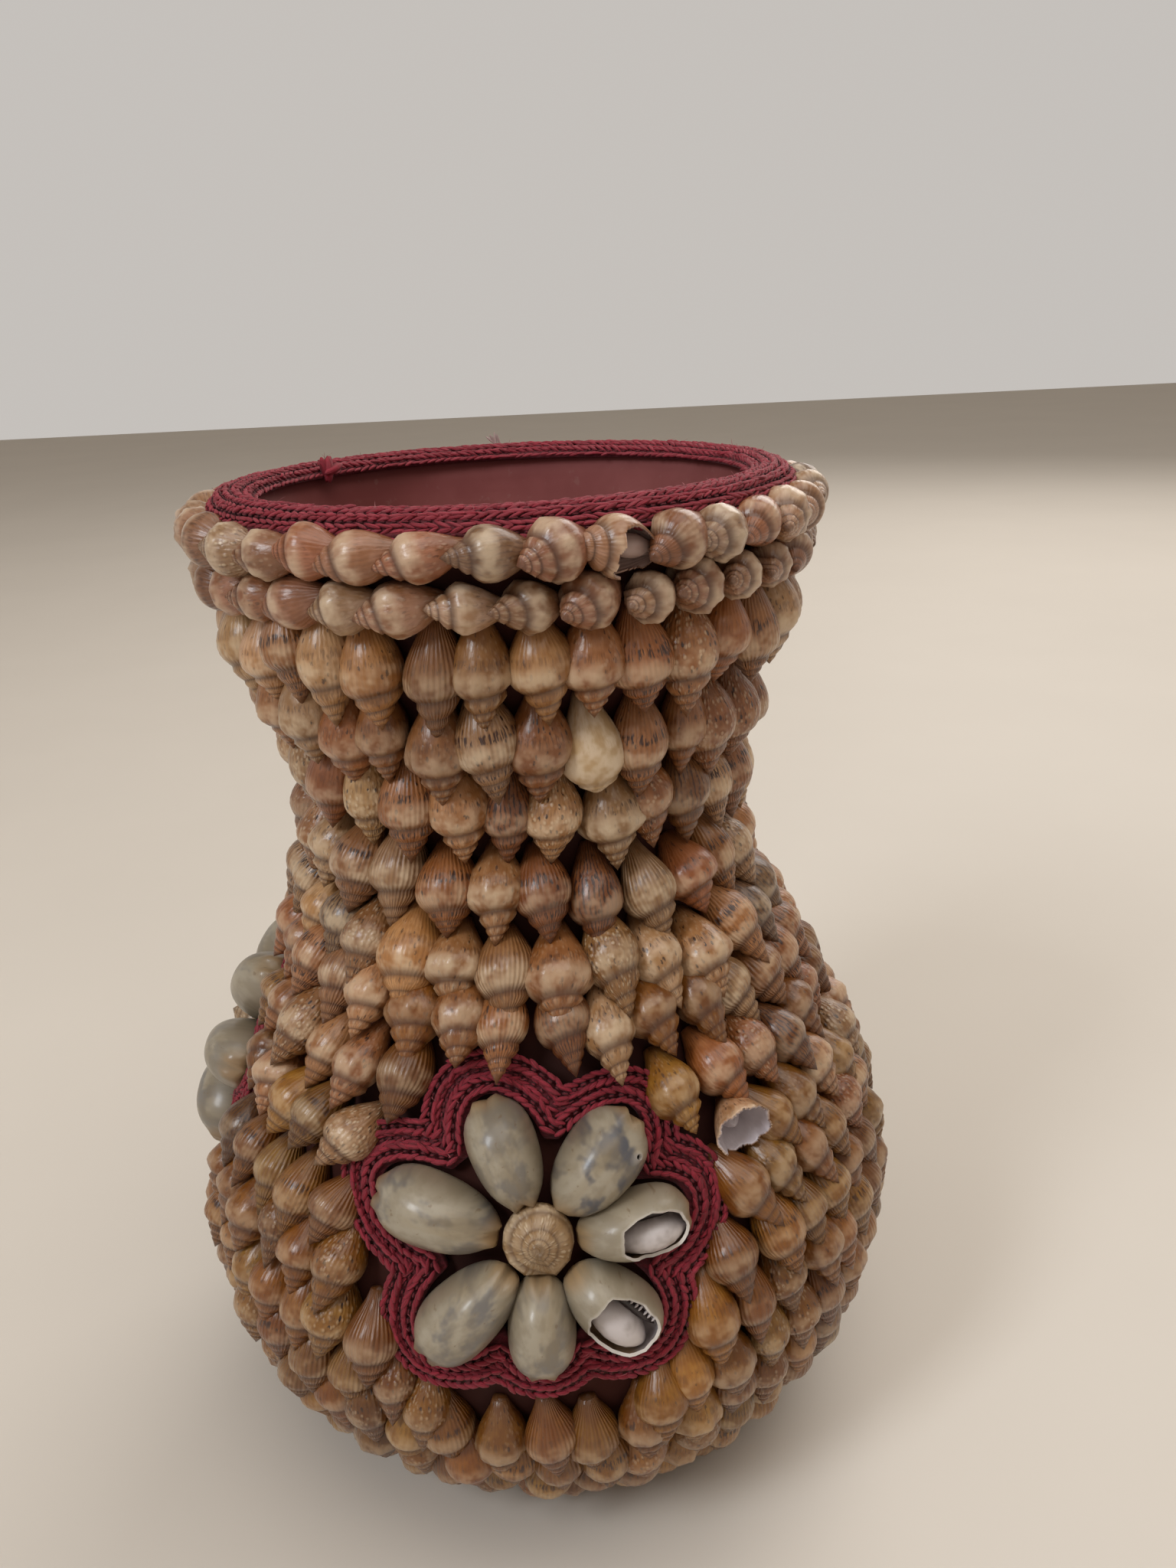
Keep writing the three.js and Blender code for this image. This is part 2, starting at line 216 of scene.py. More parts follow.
def compass(azimuth):
    """Level unit vector out from the vase's axis. Azimuth 0 is the front, and grows to the right."""
    return np.stack([np.sin(azimuth), -np.cos(azimuth), np.zeros_like(azimuth)], axis=-1)


def from_centre(azimuth, centre=0.0):
    """Azimuth to the right of a centre, within half a turn either way."""
    return (azimuth - centre + math.pi) % TURN - math.pi


def run_along(points):
    """Distance of each point of a line from the first, along the line."""
    steps = np.linalg.norm(np.diff(points, axis=0), axis=1)
    return np.concatenate([[0.0], np.cumsum(steps)])


def bezier(start, leave, arrive, end):
    t = np.linspace(0.0, 1.0, CURVE_SAMPLES)[:, None]
    return (1 - t) ** 3 * start + 3 * (1 - t) ** 2 * t * leave + 3 * (1 - t) * t ** 2 * arrive + t ** 3 * end


def pot_outline():
    """Distance along the pot's outline, its points (radius, height) and its outward normals."""
    upper = bezier(LIP, LIP + MOUTH_FLARE, NECK + NECK_RISE, NECK)
    middle = bezier(NECK, NECK + NECK_FALL, BELLY + BELLY_RISE, BELLY)
    lower = bezier(BELLY, BELLY + BELLY_FALL, FOOT + FOOT_SPREAD, FOOT)
    points = np.concatenate([upper, middle[1:], lower[1:]])
    run = run_along(points)
    tangent = unit(np.gradient(points, run, axis=0))
    return run, points, np.stack([-tangent[:, 1], tangent[:, 0]], axis=1)


RUN, LINE, NORMAL = pot_outline()
FLOWER_DISTANCE = float(np.interp(-FLOWER_HEIGHT, -LINE[:, 1], RUN))


def outline_at(distance):
    """Radius, height and the normal's two parts, at a distance below the lip along the outline."""
    return tuple(np.interp(distance, RUN, column) for column in (*LINE.T, *NORMAL.T))


def skin(distance, azimuth, lift):
    """Point at a height above the pot's skin."""
    radius, height, out, rise = outline_at(distance)
    reach = radius + out * lift
    parts = np.broadcast_arrays(reach * np.sin(azimuth), -reach * np.cos(azimuth), height + rise * lift)
    return np.stack(parts, axis=-1)


def skin_axes(distance, azimuth):
    """Unit vectors at a place on the skin: down along it, to the right along it, and out of it."""
    _, _, out, rise = outline_at(distance)
    away = compass(azimuth)
    right = np.stack([-away[..., 1], away[..., 0], away[..., 2]], axis=-1)
    return rise * away - out * UP, right, out * away + rise * UP


# Meshes: each piece gathers batches of patches that share their faces

QUAD_CORNERS = [(0, 0), (1, 0), (1, 1), (0, 1)]
MAP_MARGIN = 0.06


def grid_faces(rows, columns):
    """Quads of a grid of points that closes round, with each corner's place in the unit square."""
    row, column = (index.ravel() for index in np.mgrid[0:rows - 1, 0:columns])
    faces = [(row + down) * columns + (column + over) % columns for over, down in QUAD_CORNERS]
    places = [np.stack([(column + over) / columns, (row + down) / (rows - 1)], axis=1)
              for over, down in QUAD_CORNERS]
    return np.stack(faces, axis=1), np.stack(places, axis=1)


def fan_faces(first, columns, middle, at_start):
    """Triangles from a closed ring of points to one point, as a cap at the start or the end of a grid."""
    column = np.arange(columns)
    faces = np.stack([first + column, first + (column + 1) % columns, np.full(columns, middle)], axis=1)
    across = np.stack([column, column + 1, column + 0.5], axis=1) / columns
    places = np.stack([across, np.full_like(across, 0.0 if at_start else 1.0)], axis=-1)
    if at_start:
        return faces[:, ::-1], places[:, ::-1]
    return faces, places


def capped_faces(rows, columns):
    """Faces of a tube of rings with a cap at each end, whose middles are the last two points."""
    middle = rows * columns
    return [grid_faces(rows, columns), fan_faces(0, columns, middle, True),
            fan_faces(middle - columns, columns, middle + 1, False)]


def flipped(face_groups):
    return [(faces[:, ::-1], places[:, ::-1]) for faces, places in face_groups]


def spindle(length, width, height, rings=10, sides=12, blunt=0.75):
    """A closed bead along X. The smaller its bluntness power, the rounder its ends."""
    share = (1.0 - np.cos(np.pi * np.linspace(0.0, 1.0, rings + 2)[1:-1])) / 2
    girth = np.sin(np.pi * share)[:, None] ** blunt
    turn = np.linspace(0.0, TURN, sides, endpoint=False)
    points = np.stack([np.broadcast_to((share[:, None] - 0.5) * length, (rings, sides)),
                       0.5 * width * girth * np.cos(turn), 0.5 * height * girth * np.sin(turn)], axis=-1)
    ends = [[-0.5 * length, 0.0, 0.0], [0.5 * length, 0.0, 0.0]]
    return np.concatenate([points.reshape(-1, 3), ends]), capped_faces(rings, sides)


class Piece:
    """One visible piece: a mesh in batches of like patches, each patch with its own square of the map."""

    def __init__(self, name, slot, material, *nodes):
        self.name = name
        self.slot = slot
        self.material = material
        self.nodes = nodes
        self.batches = []

    def add(self, points, face_groups, **values):
        """Points are (patches, corners, 3), or those of one patch. Values are spread over the points."""
        points = np.asarray(points, float)
        points = points.reshape(-1, *points.shape[-2:])
        values = {key: np.broadcast_to(value, points.shape).reshape(-1, 3) for key, value in values.items()}
        self.batches.append((points, face_groups, values))

    def faces_and_map(self):
        """Faces of all batches, and the place of each of their corners in its patch's square of the map."""
        across = math.ceil(math.sqrt(sum(len(points) for points, _, _ in self.batches)))
        faces = []
        places = []
        first_point = 0
        first_patch = 0
        for points, face_groups, _ in self.batches:
            patches, size, _ = points.shape
            offsets = first_point + np.arange(patches)[:, None, None] * size
            patch = first_patch + np.arange(patches)
            cells = np.stack([patch % across, patch // across], axis=1)[:, None, None]
            for group, corners in face_groups:
                faces.append((group + offsets).reshape(-1, group.shape[1]))
                inset = cells + MAP_MARGIN + corners * (1 - 2 * MAP_MARGIN)
                places.append((inset / across).reshape(-1, 2))
            first_point += patches * size
            first_patch += patches
        return faces, np.concatenate(places)

    def finish(self):
        mesh = bpy.data.meshes.new(self.name)
        points = np.concatenate([points.reshape(-1, 3) for points, _, _ in self.batches]) * MM
        faces, places = self.faces_and_map()
        corners = np.concatenate([group.ravel() for group in faces])
        counts = np.concatenate([np.full(len(group), group.shape[1]) for group in faces])
        mesh.vertices.add(len(points))
        mesh.vertices.foreach_set("co", points.ravel())
        mesh.loops.add(len(corners))
        mesh.loops.foreach_set("vertex_index", corners)
        mesh.polygons.add(len(counts))
        mesh.polygons.foreach_set("loop_start", np.concatenate([[0], np.cumsum(counts)[:-1]]))
        mesh.polygons.foreach_set("use_smooth", np.ones(len(counts), bool))
        mesh.update(calc_edges=True)
        mesh.uv_layers.new(name="OFBake").data.foreach_set("uv", places.ravel())
        for key in self.batches[0][2]:
            values = np.concatenate([values[key] for _, _, values in self.batches])
            layer = mesh.attributes.new(key, "FLOAT_VECTOR", "POINT")
            layer.data.foreach_set("vector", values.astype(np.float32).ravel())
        mesh.materials.append(self.material)
        piece = bpy.data.objects.new(self.name, mesh)
        bpy.context.scene.collection.objects.link(piece)
        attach(piece, "root")
        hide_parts(*self.nodes)


# Materials

def linear(red, green, blue):
    """Linear colour from screen values of 0 to 255."""
    screen = np.array([red, green, blue]) / 255.0
    return np.where(screen <= 0.04045, screen / 12.92, ((screen + 0.055) / 1.055) ** 2.4)


# Screen colours, by the surface or mark that each one paints
PAINTS = {name: (*linear(*screen), 1.0) for name, screen in {
    "narrow_end": (104, 64, 38), "wavy_line": (58, 32, 22), "riblet": (112, 66, 34), "cream": (214, 192, 162),
    # On the small shells, one dark brown paints both the suture line and the shade down in the grooves
    "fleck": (50, 27, 18), "dash": (60, 33, 21), "suture_line_and_shade": (66, 34, 18),
    "shell_lining": (206, 200, 206), "shell_lining_shade": (176, 166, 172),
    # On the cowries, one grey-brown paints shade towards the margins
    "cowrie": (158, 147, 128), "cloud": (84, 83, 88), "olive": (136, 116, 82), "margin": (112, 96, 74),
    "cowrie_end": (156, 122, 78), "mottle": (124, 110, 88), "spot": (112, 88, 60), "lining": (198, 188, 188),
    # Inside a broken cowrie, two dark colours paint shade: on one side of the lining, and in the slit
    "lining_shade": (160, 148, 146), "painted_lining_shadow": (138, 112, 86), "broken_edge": (208, 200, 192),
    "slit_shadow": (34, 18, 16),
    # On the braid, a pale pink paints highlights on the tops of the legs, and a near-black crimson paints
    # shade in the holes, under the legs and on the band
    "crimson": (102, 8, 25), "bright_crimson": (152, 22, 46), "highlight": (194, 86, 98), "braid_shade": (46, 6, 12),
    "bleached": (190, 170, 165),
    # Outside, the clay's darker colours are partly a dull wash and partly painted shade in the gaps between
    # the shells
    "clay": (122, 63, 61), "light_clay": (138, 80, 78), "dust": (140, 100, 94), "wash_and_shade": (48, 18, 12),
    "light_wash_and_shade": (62, 26, 18),
    "floor": (208, 200, 190), "light_floor": (216, 208, 198),
}.items()}
# What the darker patches of a shell leave of its tint
GOLDEN = (0.68, 0.55, 0.34, 1.0)
# Waves a millimetre of the fine riblets and of the wavy lines, and the lines' sway
RIBLETS = 7.4
LINE_TURNS = 6.8
LINE_SWAY = 12.0


class Shade:
    """A value, vector or colour in a node tree. Arithmetic and methods on it add nodes to the tree."""

    def __init__(self, tree, socket):
        self.tree = tree
        self.socket = socket

    def maths(self, operation, other=0.0):
        return add_node(self.tree, "ShaderNodeMath", {0: self, 1: other}, operation=operation)

    def __add__(self, other):
        return self.maths("ADD", other)

    def __sub__(self, other):
        return self.maths("SUBTRACT", other)

    def __mul__(self, other):
        return self.maths("MULTIPLY", other)

    def split(self):
        parts = add_node(self.tree, "ShaderNodeSeparateXYZ", {"Vector": self})
        return [Shade(self.tree, socket) for socket in parts.socket.node.outputs]

    def stretch(self, scale):
        return add_node(self.tree, "ShaderNodeVectorMath", {0: self, 1: scale}, operation="MULTIPLY")

    def noise(self, scale, detail):
        inputs = {"Vector": self, "Scale": scale, "Detail": detail, "Roughness": 0.6}
        return add_node(self.tree, "ShaderNodeTexNoise", inputs)

    def streaks(self, scale, detail):
        """Noise with its own scale along each axis."""
        return self.stretch(scale).noise(1.0, detail)

    def spots(self, scale):
        """Distance from the nearest of many scattered points."""
        inputs = {"Vector": self.stretch(scale), "Scale": 1.0}
        return add_node(self.tree, "ShaderNodeTexVoronoi", inputs, "Distance")

    def ramp(self, low, high):
        """A smooth step from 0 at one value to 1 at another."""
        inputs = {"Value": self, "From Min": low, "From Max": high}
        return add_node(self.tree, "ShaderNodeMapRange", inputs, interpolation_type="SMOOTHSTEP")

    def between(self, low, high):
        """A straight change from one value at 0 to another at 1."""
        return add_node(self.tree, "ShaderNodeMapRange", {"Value": self, "To Min": low, "To Max": high})

    def bump(self, strength, depth):
        inputs = {"Height": self, "Strength": strength, "Distance": depth * MM}
        return add_node(self.tree, "ShaderNodeBump", inputs)

    def blend(self, first, second):
        """Mixes two colours, with this value as the share of the second."""
        inputs = {0: self, 6: first, 7: second}
        return add_node(self.tree, "ShaderNodeMix", inputs, 2, data_type="RGBA")

    def tinted(self, tint):
        inputs = {0: 1.0, 6: self, 7: tint}
        return add_node(self.tree, "ShaderNodeMix", inputs, 2, data_type="RGBA", blend_type="MULTIPLY")


def set_inputs(tree, node, inputs):
    for name, value in inputs.items():
        if isinstance(value, Shade):
            tree.links.new(value.socket, node.inputs[name])
        else:
            node.inputs[name].default_value = value


def add_node(tree, kind, inputs, output=0, **settings):
    node = tree.nodes.new(kind)
    for key, value in settings.items():
        setattr(node, key, value)
    set_inputs(tree, node, inputs)
    return Shade(tree, node.outputs[output])


def attribute(tree, name):
    return add_node(tree, "ShaderNodeAttribute", {}, "Vector", attribute_name=name)


def coordinates(tree, kind):
    return add_node(tree, "ShaderNodeTexCoord", {}, kind)


def paint(base, layers):
    """Tints laid over a base one after another, each by its share."""
    for share, tint in layers:
        base = share.blend(base, tint)
    return base


def make_material(name):
    material = bpy.data.materials.new(name)
    material.use_nodes = True
    return material, material.node_tree


def finish_material(material, inputs):
    tree = material.node_tree
    set_inputs(tree, tree.nodes["Principled BSDF"], inputs)
    return material


def shell_lines(around, drift, grain, lines):
    """Wavy lines along a shell, broken by its grain."""
    wave = around * LINE_TURNS + drift * LINE_SWAY
    return wave.maths("SINE").ramp(0.1, 0.7) * lines * grain.ramp(0.35, 0.55)


def shell_dashes(place, stage, drift, band):
    """Dashes in a thin belt round the body and on each whorl of the spire."""
    dash = place.streaks((2.6, 0.4, 1.0), 2.0).ramp(0.48, 0.57)
    level = stage + drift * 0.16
    belt = level.ramp(0.57, 0.62) * level.ramp(0.74, 0.68) * dash * band
    within = stage.maths("FRACT")
    whorls = stage.ramp(1.0, 1.1) * within.ramp(0.1, 0.25) * within.ramp(0.65, 0.45) * dash * band
    return belt.maths("MAXIMUM", whorls)


def shell_pale(tint):
    """The paler tint of a shell's beads and crowns, nearer its own tint on the golden shells."""
    _, _, blue = tint.split()
    warmth = blue.ramp(0.06, 0.015) * 0.32 + 0.3
    return warmth.blend(PAINTS["cream"], tint)


def shell_material():
    """Varnished shell: mottling, wavy lines, beads, flecks and dashes, by each shell's own marks; a dark line
    and painted shade in the suture grooves, and a partly painted highlight on the shoulder.
    """
    material, tree = make_material("small_shell")
    place = attribute(tree, "shell_place")
    around, _, _ = place.split()
    tint = attribute(tree, "shell_tint")
    suture_line_and_shade, bump, stage = attribute(tree, "shell_relief").split()
    flecks, lines, band = attribute(tree, "shell_marks").split()
    beads, ribs, nacre = attribute(tree, "shell_grain").split()
    drift = place.streaks((0.3, 0.3, 1.0), 2.0)
    grain = place.streaks((1.6, 0.7, 1.0), 3.0)
    bead = place.spots((1.1, 0.9, 1.0))
    fleck = place.spots((1.0, 0.55, 1.0))
    rib = (around * RIBLETS).maths("SINE")
    golden = tint.tinted(GOLDEN)
    pale = shell_pale(tint)
    base = paint(tint, [
        (drift.ramp(0.62, 0.38) * 0.8, golden),
        (grain.ramp(0.55, 0.3) * 0.35, golden),
        (stage.ramp(0.5, 0.0) * 0.6, PAINTS["narrow_end"]),
        (shell_lines(around, drift, grain, lines), PAINTS["wavy_line"]),
        (rib.ramp(0.2, -0.9) * ribs * 0.5, PAINTS["riblet"]),
        (bead.ramp(0.42, 0.15) * beads * 0.7, pale),
        (fleck.ramp(0.32, 0.2) * grain.ramp(0.46, 0.56) * flecks, PAINTS["fleck"]),
        (shell_dashes(place, stage, drift, band), PAINTS["dash"]),
        # A pale patch over the shoulder: partly the shell's paler shoulder, partly a painted highlight
        (stage.ramp(0.55, 0.78) * stage.ramp(1.05, 0.93) * drift.ramp(0.34, 0.66) * 0.75, pale),
        (bump * 0.8, pale),
        # The dark suture line, and painted shade down in the grooves at the sutures
        (suture_line_and_shade * 0.75, PAINTS["suture_line_and_shade"]),
        (nacre, drift.blend(PAINTS["shell_lining"], PAINTS["shell_lining_shade"])),
    ])
    height = grain * 0.5 + rib * ribs * 0.35 - bead.ramp(0.1, 0.6) * beads * 0.8
    return finish_material(material, {
        "Base Color": base, "Roughness": grain.between(0.24, 0.48), "Coat Weight": 0.24,
        "Coat Roughness": 0.14, "Normal": height.bump(0.6, 0.3)})


def cowrie_material():
    """Polished cowrie: cream and olive with blue-grey clouds and tan ends, lilac-white inside, with painted
    shade at its margins, on one side of a broken one's lining and in its slit.
    """
    material, tree = make_material("cowrie_shell")
    place = attribute(tree, "cowrie_place")
    inside, edge, dark = attribute(tree, "cowrie_part").split()
    clouds, _, _ = attribute(tree, "cowrie_clouds").split()
    along, across, _ = place.split()
    lining = paint(PAINTS["lining"], [
        (place.streaks((2.0, 2.0, 1.0), 2.0).ramp(0.4, 0.7), PAINTS["lining_shade"]),
        # Painted shade on one side of the lining, down in the hollow
        (across.ramp(-0.2, -0.6), PAINTS["painted_lining_shadow"]),
    ])
    base = paint(PAINTS["cowrie"], [
        (place.streaks((1.5, 1.2, 1.0), 3.0).ramp(0.45, 0.6) * clouds, PAINTS["cloud"]),
        (place.streaks((0.9, 1.6, 1.3), 2.0).ramp(0.48, 0.74) * 0.45, PAINTS["olive"]),
        # Painted shade: darker towards the margins, where the light falls off
        (across.maths("ABSOLUTE").ramp(0.55, 1.0) * 0.45, PAINTS["margin"]),
        (along.maths("ABSOLUTE").ramp(0.74, 1.0) * 0.75, PAINTS["cowrie_end"]),
        (place.streaks((2.6, 2.2, 1.0), 3.0).ramp(0.4, 0.62) * 0.45, PAINTS["mottle"]),
        (place.streaks((7.0, 5.0, 1.0), 2.0).ramp(0.66, 0.74) * 0.5, PAINTS["spot"]),
        (inside, lining),
        (edge, PAINTS["broken_edge"]),
        # Painted shade in the slit
        (dark, PAINTS["slit_shadow"]),
    ])
    pits = place.streaks((4.0, 4.0, 1.0), 2.0)
    return finish_material(material, {
        "Base Color": base, "Roughness": 0.4, "Coat Weight": 0.25, "Coat Roughness": 0.16,
        "Normal": pits.bump(0.12, 0.3)})


def braid_material():
    """Crimson raffia: fibres along each leg of a stitch, a painted highlight on top of each leg, painted
    shade in the holes and beneath the legs.
    """
    material, tree = make_material("crimson_braid")
    highlight, braid_shade, pale = attribute(tree, "braid_part").split()
    fibre = attribute(tree, "braid_place").streaks((0.35, 5.0, 1.0), 3.0)
    base = paint(PAINTS["crimson"], [
        (fibre.ramp(0.3, 0.7), PAINTS["bright_crimson"]),
        # Painted highlight on the tops of the legs; the loose fibres take this colour all over
        (highlight * 0.55, PAINTS["highlight"]),
        # Painted shade in the holes, beneath the legs and on the inner band
        (braid_shade, PAINTS["braid_shade"]),
        (pale, PAINTS["bleached"]),
    ])
    return finish_material(material, {
        "Base Color": base, "Roughness": 0.72, "Sheen Weight": 0.06, "Sheen Roughness": 0.5,
        "Normal": fibre.bump(0.9, 0.35)})


def clay_material():
    """Reddish-brown earthenware, dusty on the inside; the outside is darker, partly a thin dull wash and
    partly painted shade for the gaps between the shells.
    """
    material, tree = make_material("earthenware")
    place = coordinates(tree, "Object")
    outside, _, _ = attribute(tree, "clay_side").split()
    patches = place.noise(40.0, 4.0).ramp(0.35, 0.7)
    base = paint(PAINTS["clay"], [
        (patches, PAINTS["light_clay"]),
        (place.noise(420.0, 3.0).ramp(0.62, 0.74) * 0.35, PAINTS["dust"]),
        # Darker outside: partly a dull wash, partly painted shade in the gaps between the shells
        (outside, patches.blend(PAINTS["wash_and_shade"], PAINTS["light_wash_and_shade"])),
    ])
    rings = place.streaks((30.0, 30.0, 420.0), 2.0)
    return finish_material(material, {
        "Base Color": base, "Roughness": patches.between(0.7, 0.9), "Specular IOR Level": 0.25,
        "Normal": rings.bump(0.15, 0.4)})


SHELL = shell_material()
COWRIE = cowrie_material()
BRAID = braid_material()
CLAY = clay_material()


# The pot

def add_pot():
    radius, height, out, rise = outline_at(np.linspace(0.0, RUN[-1], POT_RINGS))
    outside = np.stack([radius, height], axis=1)
    inside = np.stack([radius - out * WALL, height - rise * WALL], axis=1)
    inside = inside[inside[:, 1] > FLOOR + WALL / 2]
    inside[0, 1] = LIP[1]
    lip = np.array([[(inside[0, 0] + LIP[0]) / 2, LIP[1] + LIP_CROWN]])
    bowl = np.array([[inside[-1, 0] - WALL, FLOOR], [inside[-1, 0] / 2, FLOOR]])
    profile = np.concatenate([[[FOOT[0] / 2, 0.0]], outside[::-1], lip, inside, bowl])
    azimuth = np.linspace(0.0, TURN, POT_SIDES, endpoint=False)
    reach = profile[:, :1] * wavy(azimuth, POT_WAVES)
    rings = reach[..., None] * compass(azimuth) + profile[:, 1:, None] * UP
    points = np.concatenate([rings.reshape(-1, 3), [0.0 * UP, FLOOR * UP]])
    # The outside takes the clay's darker colours, partly painted shade for the gaps between the shells
    side = np.zeros((len(points), 3))
    side[:(1 + POT_RINGS) * POT_SIDES] = 1.0
    pot = Piece("pot_clay", "clay", CLAY, "pot")
    pot.add(points, capped_faces(len(profile), POT_SIDES), clay_side=side)
    pot.finish()


# The small shells

# Each kind's tone, height of its ribs and knobs, marks (flecks, lines, band) and grain (beads, riblets)
KINDS = {
    "plain": (1.12, 0.0, 0.0, (0.55, 0.05, 0.3), (0.0, 0.25)),
    "banded": (1.0, 0.0, 0.0, (0.8, 0.15, 1.0), (0.1, 0.6)),
    "knobbed": (0.95, 0.0, 0.1, (0.75, 0.0, 0.4), (0.3, 0.0)),
    "ribbed": (0.95, 0.042, 0.0, (0.4, 0.0, 0.3), (0.0, 0.9)),
    "flecked": (0.95, 0.0, 0.0, (1.0, 0.0, 0.3), (0.9, 0.3)),
    "lined": (0.62, 0.0, 0.0, (0.7, 0.9, 0.2), (0.2, 0.0)),
}
# Strength of the marks, share of each kind and the tints on the rim, in the neck and on the belly
ZONES = {
    "rim": {"marking": 0.7, "shares": [0.38, 0.14, 0.3, 0.08, 0.06, 0.04],
            "tints": [(163, 123, 97), (154, 107, 83), (169, 134, 111), (145, 95, 68)]},
    "neck": {"marking": 1.4, "shares": [0.18, 0.24, 0.2, 0.1, 0.18, 0.1],
             "tints": [(168, 118, 76), (158, 104, 61), (174, 135, 99), (149, 93, 51)]},
    "belly": {"marking": 1.1, "shares": [0.16, 0.22, 0.22, 0.22, 0.14, 0.04],
              "tints": [(137, 87, 27), (128, 77, 21), (144, 100, 37), (119, 71, 19)]},
}
# How single shells differ: spread and limits of a factor, or limits of a value.
# A whorl shrinks to a share of the one before it. The suture ends the body, as a share of the length.
# The step is the spire's girth, the bulge that of its whorls. The peak is the body's widest place, and the
# powers shape its swell and its shoulder.
TONE_SPREAD = (0.12, 0.72, 1.3)
LENGTH_SPREAD = (0.06, 0.86, 1.14)
WIDTH_SPREAD = (0.08, 0.84, 1.14)
FORM_LIMITS = {"shrink": (0.57, 0.65), "suture": (0.64, 0.72), "step": (0.6, 0.7), "bulge": (0.1, 0.2),
               "peak": (0.66, 0.78), "power": (1.1, 1.45), "shoulder": (2.2, 3.4)}
RELIEF_LIMITS = (0.7, 1.2)
MARK_LIMITS = (0.6, 1.1)
TINT_SPREAD = 0.03
SHELL_SEEDS = 400.0
SHELL_GRIDS = {kind: (columns, capped_faces(len(BODY_ROWS) + len(SPIRE_ROWS), len(columns)))
               for kind, columns in (("plain", PLAIN_COLUMNS), ("relief", RELIEF_COLUMNS))}


def past_peak(shape, part):
    """How far a place on the body is past its widest part: 0 there and 1 at the suture."""
    return np.clip((part - shape["peak"]) / (1.0 - shape["peak"]), 0.0, 1.0)


def shell_form(shape, turn, part, whorl):
    """Length and radius over a shell's body and spire, which winds up from the body without a step."""
    girth = shape["width"] / 2
    shrink = shape["shrink"]
    spire = (1.0 - shape["suture"]) * shape["length"] / math.sqrt(shrink)
    step = shape["step"] * girth / math.sqrt(shrink)
    swell = np.sin(0.5 * np.pi * np.minimum(part / shape["peak"], 1.0) ** shape["power"])
    swell = NARROW + (1.0 - NARROW) * swell
    shoulder = past_peak(shape, part) ** shape["shoulder"]
    body_along = part * (shape["length"] - spire * shrink ** turn)
    body_radius = girth * swell - (girth - step * shrink ** turn) * shoulder
    spire_along = shape["length"] - spire * shrink ** (whorl + turn)
    swollen = 1.0 + shape["bulge"] * np.sin(np.pi * (whorl % 1.0) ** WHORL_LEAN)
    spire_radius = step * shrink ** (whorl + turn) * swollen
    return np.concatenate([body_along, spire_along]), np.concatenate([body_radius, spire_radius])


def shell_relief(shape, turn, part, whorl):
    """Darkness of the suture line with its painted shade in the grooves, and height of the ribs and of the
    knobs as shares of the radius.
    """
    share = whorl % 1.0
    nearest = np.concatenate([(1.0 - part) * BODY_FADE, np.minimum(share, 1.0 - share)])
    suture_line_and_shade = shape["suture_line_and_shade"] * bell(nearest, 0.0, SUTURE_SHADE_WIDTH)
    twist = RELIEF_TWIST * np.concatenate([np.zeros_like(part), np.floor(whorl) + 1.0])
    crown = np.concatenate([bell(part, *BODY_CROWN), bell(share, *WHORL_CROWN)])
    body_ribs = np.clip((part - RIB_FROM) / RIB_RISE, 0.0, 1.0)
    body_ribs = body_ribs * (1.0 - RIB_FADE * past_peak(shape, part) ** 2)
    ribbed = np.concatenate([body_ribs, np.sin(np.pi * share)])
    rib = ribbed * (0.5 + 0.5 * np.cos(TURN * (RIB_COUNT * turn + twist)))
    knob = crown * np.maximum(np.cos(TURN * (KNOB_COUNT * turn + twist)), 0.0) ** KNOB_POWER
    return suture_line_and_shade, shape["ribs"] * rib, shape["knobs"] * knob


def shell_surface(shape, columns, body_rows=BODY_ROWS, spire_rows=SPIRE_ROWS):
    """Points of one shell about its axis (across, along, out), with each point's place and relief."""
    grid = (columns[None, :], body_rows[:, None], spire_rows[:, None])
    along, radius = shell_form(shape, *grid)
    suture_line_and_shade, rib, knob = shell_relief(shape, *grid)
    radius = radius * (1.0 + rib + knob)
    angle = TURN * np.broadcast_to(columns, along.shape)
    points = np.stack([-radius * np.sin(angle), along, -radius * np.cos(angle)], axis=-1)
    place = np.stack([angle * shape["width"] / 2, along, np.full_like(along, shape["seed"])], axis=-1)
    bump = np.clip(RELIEF_PALENESS * (knob + RIB_PALENESS * rib), 0.0, 1.0)
    stage = np.concatenate([body_rows, 1.0 + spire_rows])[:, None]
    relief = np.stack(np.broadcast_arrays(suture_line_and_shade, bump, stage), axis=-1)
    return points.reshape(-1, 3), place.reshape(-1, 3), relief.reshape(-1, 3)


def shell_values(shape, place, relief):
    values = {f"shell_{key}": np.tile(shape[key], (len(place), 1)) for key in ("tint", "marks", "grain")}
    return {"shell_place": place, "shell_relief": relief, **values}


def shell_patch(shape, columns):
    """A whole shell, with a point in the middle of each end."""
    points, place, relief = shell_surface(shape, columns)
    ends = np.outer(SHELL_ENDS, [0.0, shape["length"], 0.0])
    end_rows = np.array([0, len(place) - 1])
    place = np.concatenate([place, place[end_rows]])
    relief = np.concatenate([relief, relief[end_rows]])
    return np.concatenate([points, ends]), shell_values(shape, place, relief)


def missing_quads(shape, stage):
    """Which quads of a broken shell's grid are gone, in a round hole with jags."""
    middle, half, turn_middle, turn_half = shape["hole"]
    stage = (stage[:-1] + stage[1:]) / 2
    turn = BROKEN_COLUMNS + 0.5 / len(BROKEN_COLUMNS)
    slow, fast = JAG_WAVES
    jag = JAG * (np.sin(TURN * slow * turn + JAG_SLANT * stage) + np.sin(TURN * fast * turn + JAG_PHASE))
    return ((stage - middle) / (half + jag)) ** 2 + ((turn - turn_middle) / (turn_half + jag)) ** 2 < 1.0


